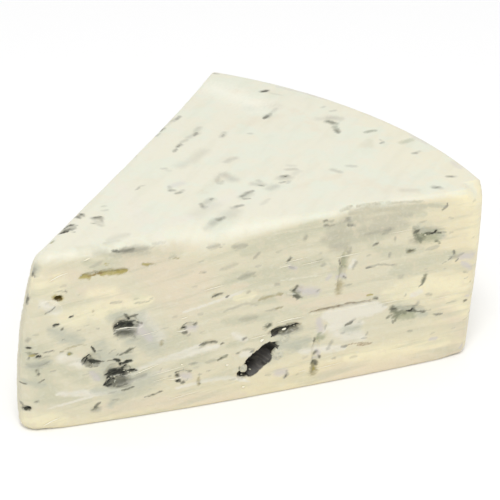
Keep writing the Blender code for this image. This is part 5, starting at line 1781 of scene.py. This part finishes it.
def wheel_shift(points):
    """From the wheel's centre to the frame's origin, which is under the middle of the box."""
    flat = np.array(points)
    middle = (flat.min(0) + flat.max(0)) / 2
    centre = (LOW_CORNER + HIGH_CORNER) / 2
    return (centre.x - middle[0], centre.y - middle[1], LOW_CORNER.z - flat.min(0)[2])


class CHEESE_OT_wedge(bpy.types.Operator):
    """Builds the wedge of paste with its pockets and veins"""

    bl_idname = "cheese.wedge"
    bl_label = "Wedge"

    def execute(self, context):
        relief = context.scene.cheese_relief
        colours = context.scene.cheese_colours
        wedge = WedgeMesh()
        shift = wheel_shift(wedge.points)
        context.scene["wheel_shift"] = shift
        mesh = bpy.data.meshes.new("paste_wedge")
        mesh.from_pydata([point + Vector(shift) for point in wedge.points], [], wedge.faces)
        lay_picture(mesh, wedge)
        paint_wedge(mesh, shift)
        values = {
            "Pocket depth": relief.pit_depth,
            "Mould depth": relief.mould_depth,
            "Grain depth": relief.grain_depth,
            "Drag depth": relief.drag_depth,
        }
        tree = relief_tree(veined_paste_material(colours, shift), shift)
        piece = grow("paste_wedge", mesh, tree, values)
        hand_over(piece, "cheese_wedge")
        return {"FINISHED"}


class CHEESE_OT_smears(bpy.types.Operator):
    """Lays the threads of cream that the knife drew out along the front cut"""

    bl_idname = "cheese.smears"
    bl_label = "Smears"

    def execute(self, context):
        shift = context.scene["wheel_shift"]
        material = cream_material(context.scene.cheese_colours)
        mesh = paths_mesh("cream_threads", all_threads(), shift)
        values = {"Thickness": context.scene.cheese_relief.thread_scale}
        piece = grow("cream_threads", mesh, thread_tree(material), values)
        hand_over(piece)
        return {"FINISHED"}


class CHEESE_OT_lumps(bpy.types.Operator):
    """Sets the lumps of curd in the cavity and the bright beads on the cut, which stand partly for painted
    glints
    """

    bl_idname = "cheese.lumps"
    bl_label = "Lumps"

    def execute(self, context):
        shift = context.scene["wheel_shift"]
        colours = context.scene.cheese_colours
        groups = (
            ("grey_curds", GREY_LUMPS, grey_curd_material(colours), LUMP_UNEVENNESS),
            # The bright beads are partly painted glints.
            ("cream_beads_and_glints", CREAM_BEADS_AND_GLINTS, cream_material(colours), BEAD_UNEVENNESS),
        )
        for name, lumps, material, unevenness in groups:
            tree = lump_tree(name, material)
            hand_over(grow(name, lumps_mesh(name, lumps, shift), tree, {"Unevenness": unevenness}))
        return {"FINISHED"}


class CHEESE_OT_crumbs(bpy.types.Operator):
    """Strews crumbs over the broken places of both cuts"""

    bl_idname = "cheese.crumbs"
    bl_label = "Crumbs"

    def execute(self, context):
        relief = context.scene.cheese_relief
        material = crumb_material(context.scene.cheese_colours)
        mesh = bpy.data.objects["paste_wedge"].data.copy()
        values = {"Density": relief.crumb_density, "Largest": relief.crumb_size, "Seed": relief.seed}
        piece = grow("paste_crumbs", mesh, crumb_tree(material), values)
        hand_over(piece)
        return {"FINISHED"}


class CHEESE_OT_stage(bpy.types.Operator):
    """Sets the plain floor, the soft light and the camera"""

    bl_idname = "cheese.stage"
    bl_label = "Stage"

    def execute(self, context):
        stage = context.scene.cheese_stage
        self.lay_floor(stage)
        self.set_sky(context.scene, stage)
        self.hang_light("overhead", OVERHEAD_PLACE, OVERHEAD_SIZE, stage.key_power)
        self.hang_light("beside_camera", BESIDE_CAMERA_PLACE, BESIDE_CAMERA_SIZE, stage.fill_power)
        self.place_camera(context.scene, stage)
        context.scene.view_settings.view_transform = "Standard"
        return {"FINISHED"}

    def lay_floor(self, stage):
        mesh = bpy.data.meshes.new("floor")
        half = FLOOR_HALF_SIZE
        corners = [(-half, -half, 0.0), (half, -half, 0.0), (half, half, 0.0), (-half, half, 0.0)]
        mesh.from_pydata(corners, [], [(0, 1, 2, 3)])
        material, _, shader = new_material("plain_floor")
        shader.inputs["Base Color"].default_value = (*stage.floor, 1.0)
        shader.inputs["Roughness"].default_value = FLOOR_ROUGHNESS
        mesh.materials.append(material)
        floor = bpy.data.objects.new("floor", mesh)
        bpy.context.scene.collection.objects.link(floor)

    def set_sky(self, scene, stage):
        world = bpy.data.worlds.new("even_sky")
        world.use_nodes = True
        background = world.node_tree.nodes["Background"]
        background.inputs["Color"].default_value = (1.0, 1.0, 1.0, 1.0)
        background.inputs["Strength"].default_value = stage.sky_strength
        scene.world = world

    def hang_light(self, name, place, size, power):
        light = bpy.data.lights.new(name, "AREA")
        light.shape = "DISK"
        light.size = size
        light.energy = power
        lamp = bpy.data.objects.new(name, light)
        lamp.location = place
        lamp.rotation_euler = (-Vector(place)).to_track_quat("-Z", "Y").to_euler()
        bpy.context.scene.collection.objects.link(lamp)

    def place_camera(self, scene, stage):
        camera = bpy.data.cameras.new("camera")
        camera.angle = stage.camera_angle
        camera.clip_start = CAMERA_NEAREST
        eye = bpy.data.objects.new("camera", camera)
        eye.location = CAMERA_PLACE
        direction = Vector(CAMERA_TARGET) - Vector(CAMERA_PLACE)
        eye.rotation_euler = direction.to_track_quat("-Z", "Y").to_euler()
        scene.collection.objects.link(eye)
        scene.camera = eye


class CHEESE_PT_panel(bpy.types.Panel):
    """Lists the wedge's sizes, colours and steps"""

    bl_idname = "CHEESE_PT_panel"
    bl_label = "Blue Cheese Wedge"
    bl_space_type = "VIEW_3D"
    bl_region_type = "UI"
    bl_category = "Cheese"

    def draw(self, context):
        layout = self.layout
        for operator in OPERATORS:
            layout.operator(operator.bl_idname)
        groups = (context.scene.cheese_relief, context.scene.cheese_colours, context.scene.cheese_stage)
        for group in groups:
            box = layout.box()
            for name in group.bl_rna.properties.keys():
                if name not in ("rna_type", "name"):
                    box.prop(group, name)


OPERATORS = (CHEESE_OT_wedge, CHEESE_OT_smears, CHEESE_OT_lumps, CHEESE_OT_crumbs, CHEESE_OT_stage)
GROUPS = {
    "cheese_relief": CheeseReliefSettings,
    "cheese_colours": CheeseColourSettings,
    "cheese_stage": CheeseStageSettings,
}


def register():
    for kind in (*GROUPS.values(), *OPERATORS, CHEESE_PT_panel):
        bpy.utils.register_class(kind)
    for name, group in GROUPS.items():
        setattr(bpy.types.Scene, name, PointerProperty(type=group))


def unregister():
    for name in GROUPS:
        delattr(bpy.types.Scene, name)
    for kind in (CHEESE_PT_panel, *reversed(OPERATORS), *reversed(GROUPS.values())):
        bpy.utils.unregister_class(kind)


def main():
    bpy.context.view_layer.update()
    register()
    for operator in OPERATORS:
        group, name = operator.bl_idname.split(".")
        getattr(getattr(bpy.ops, group), name)()


if __name__ == "__main__":
    main()
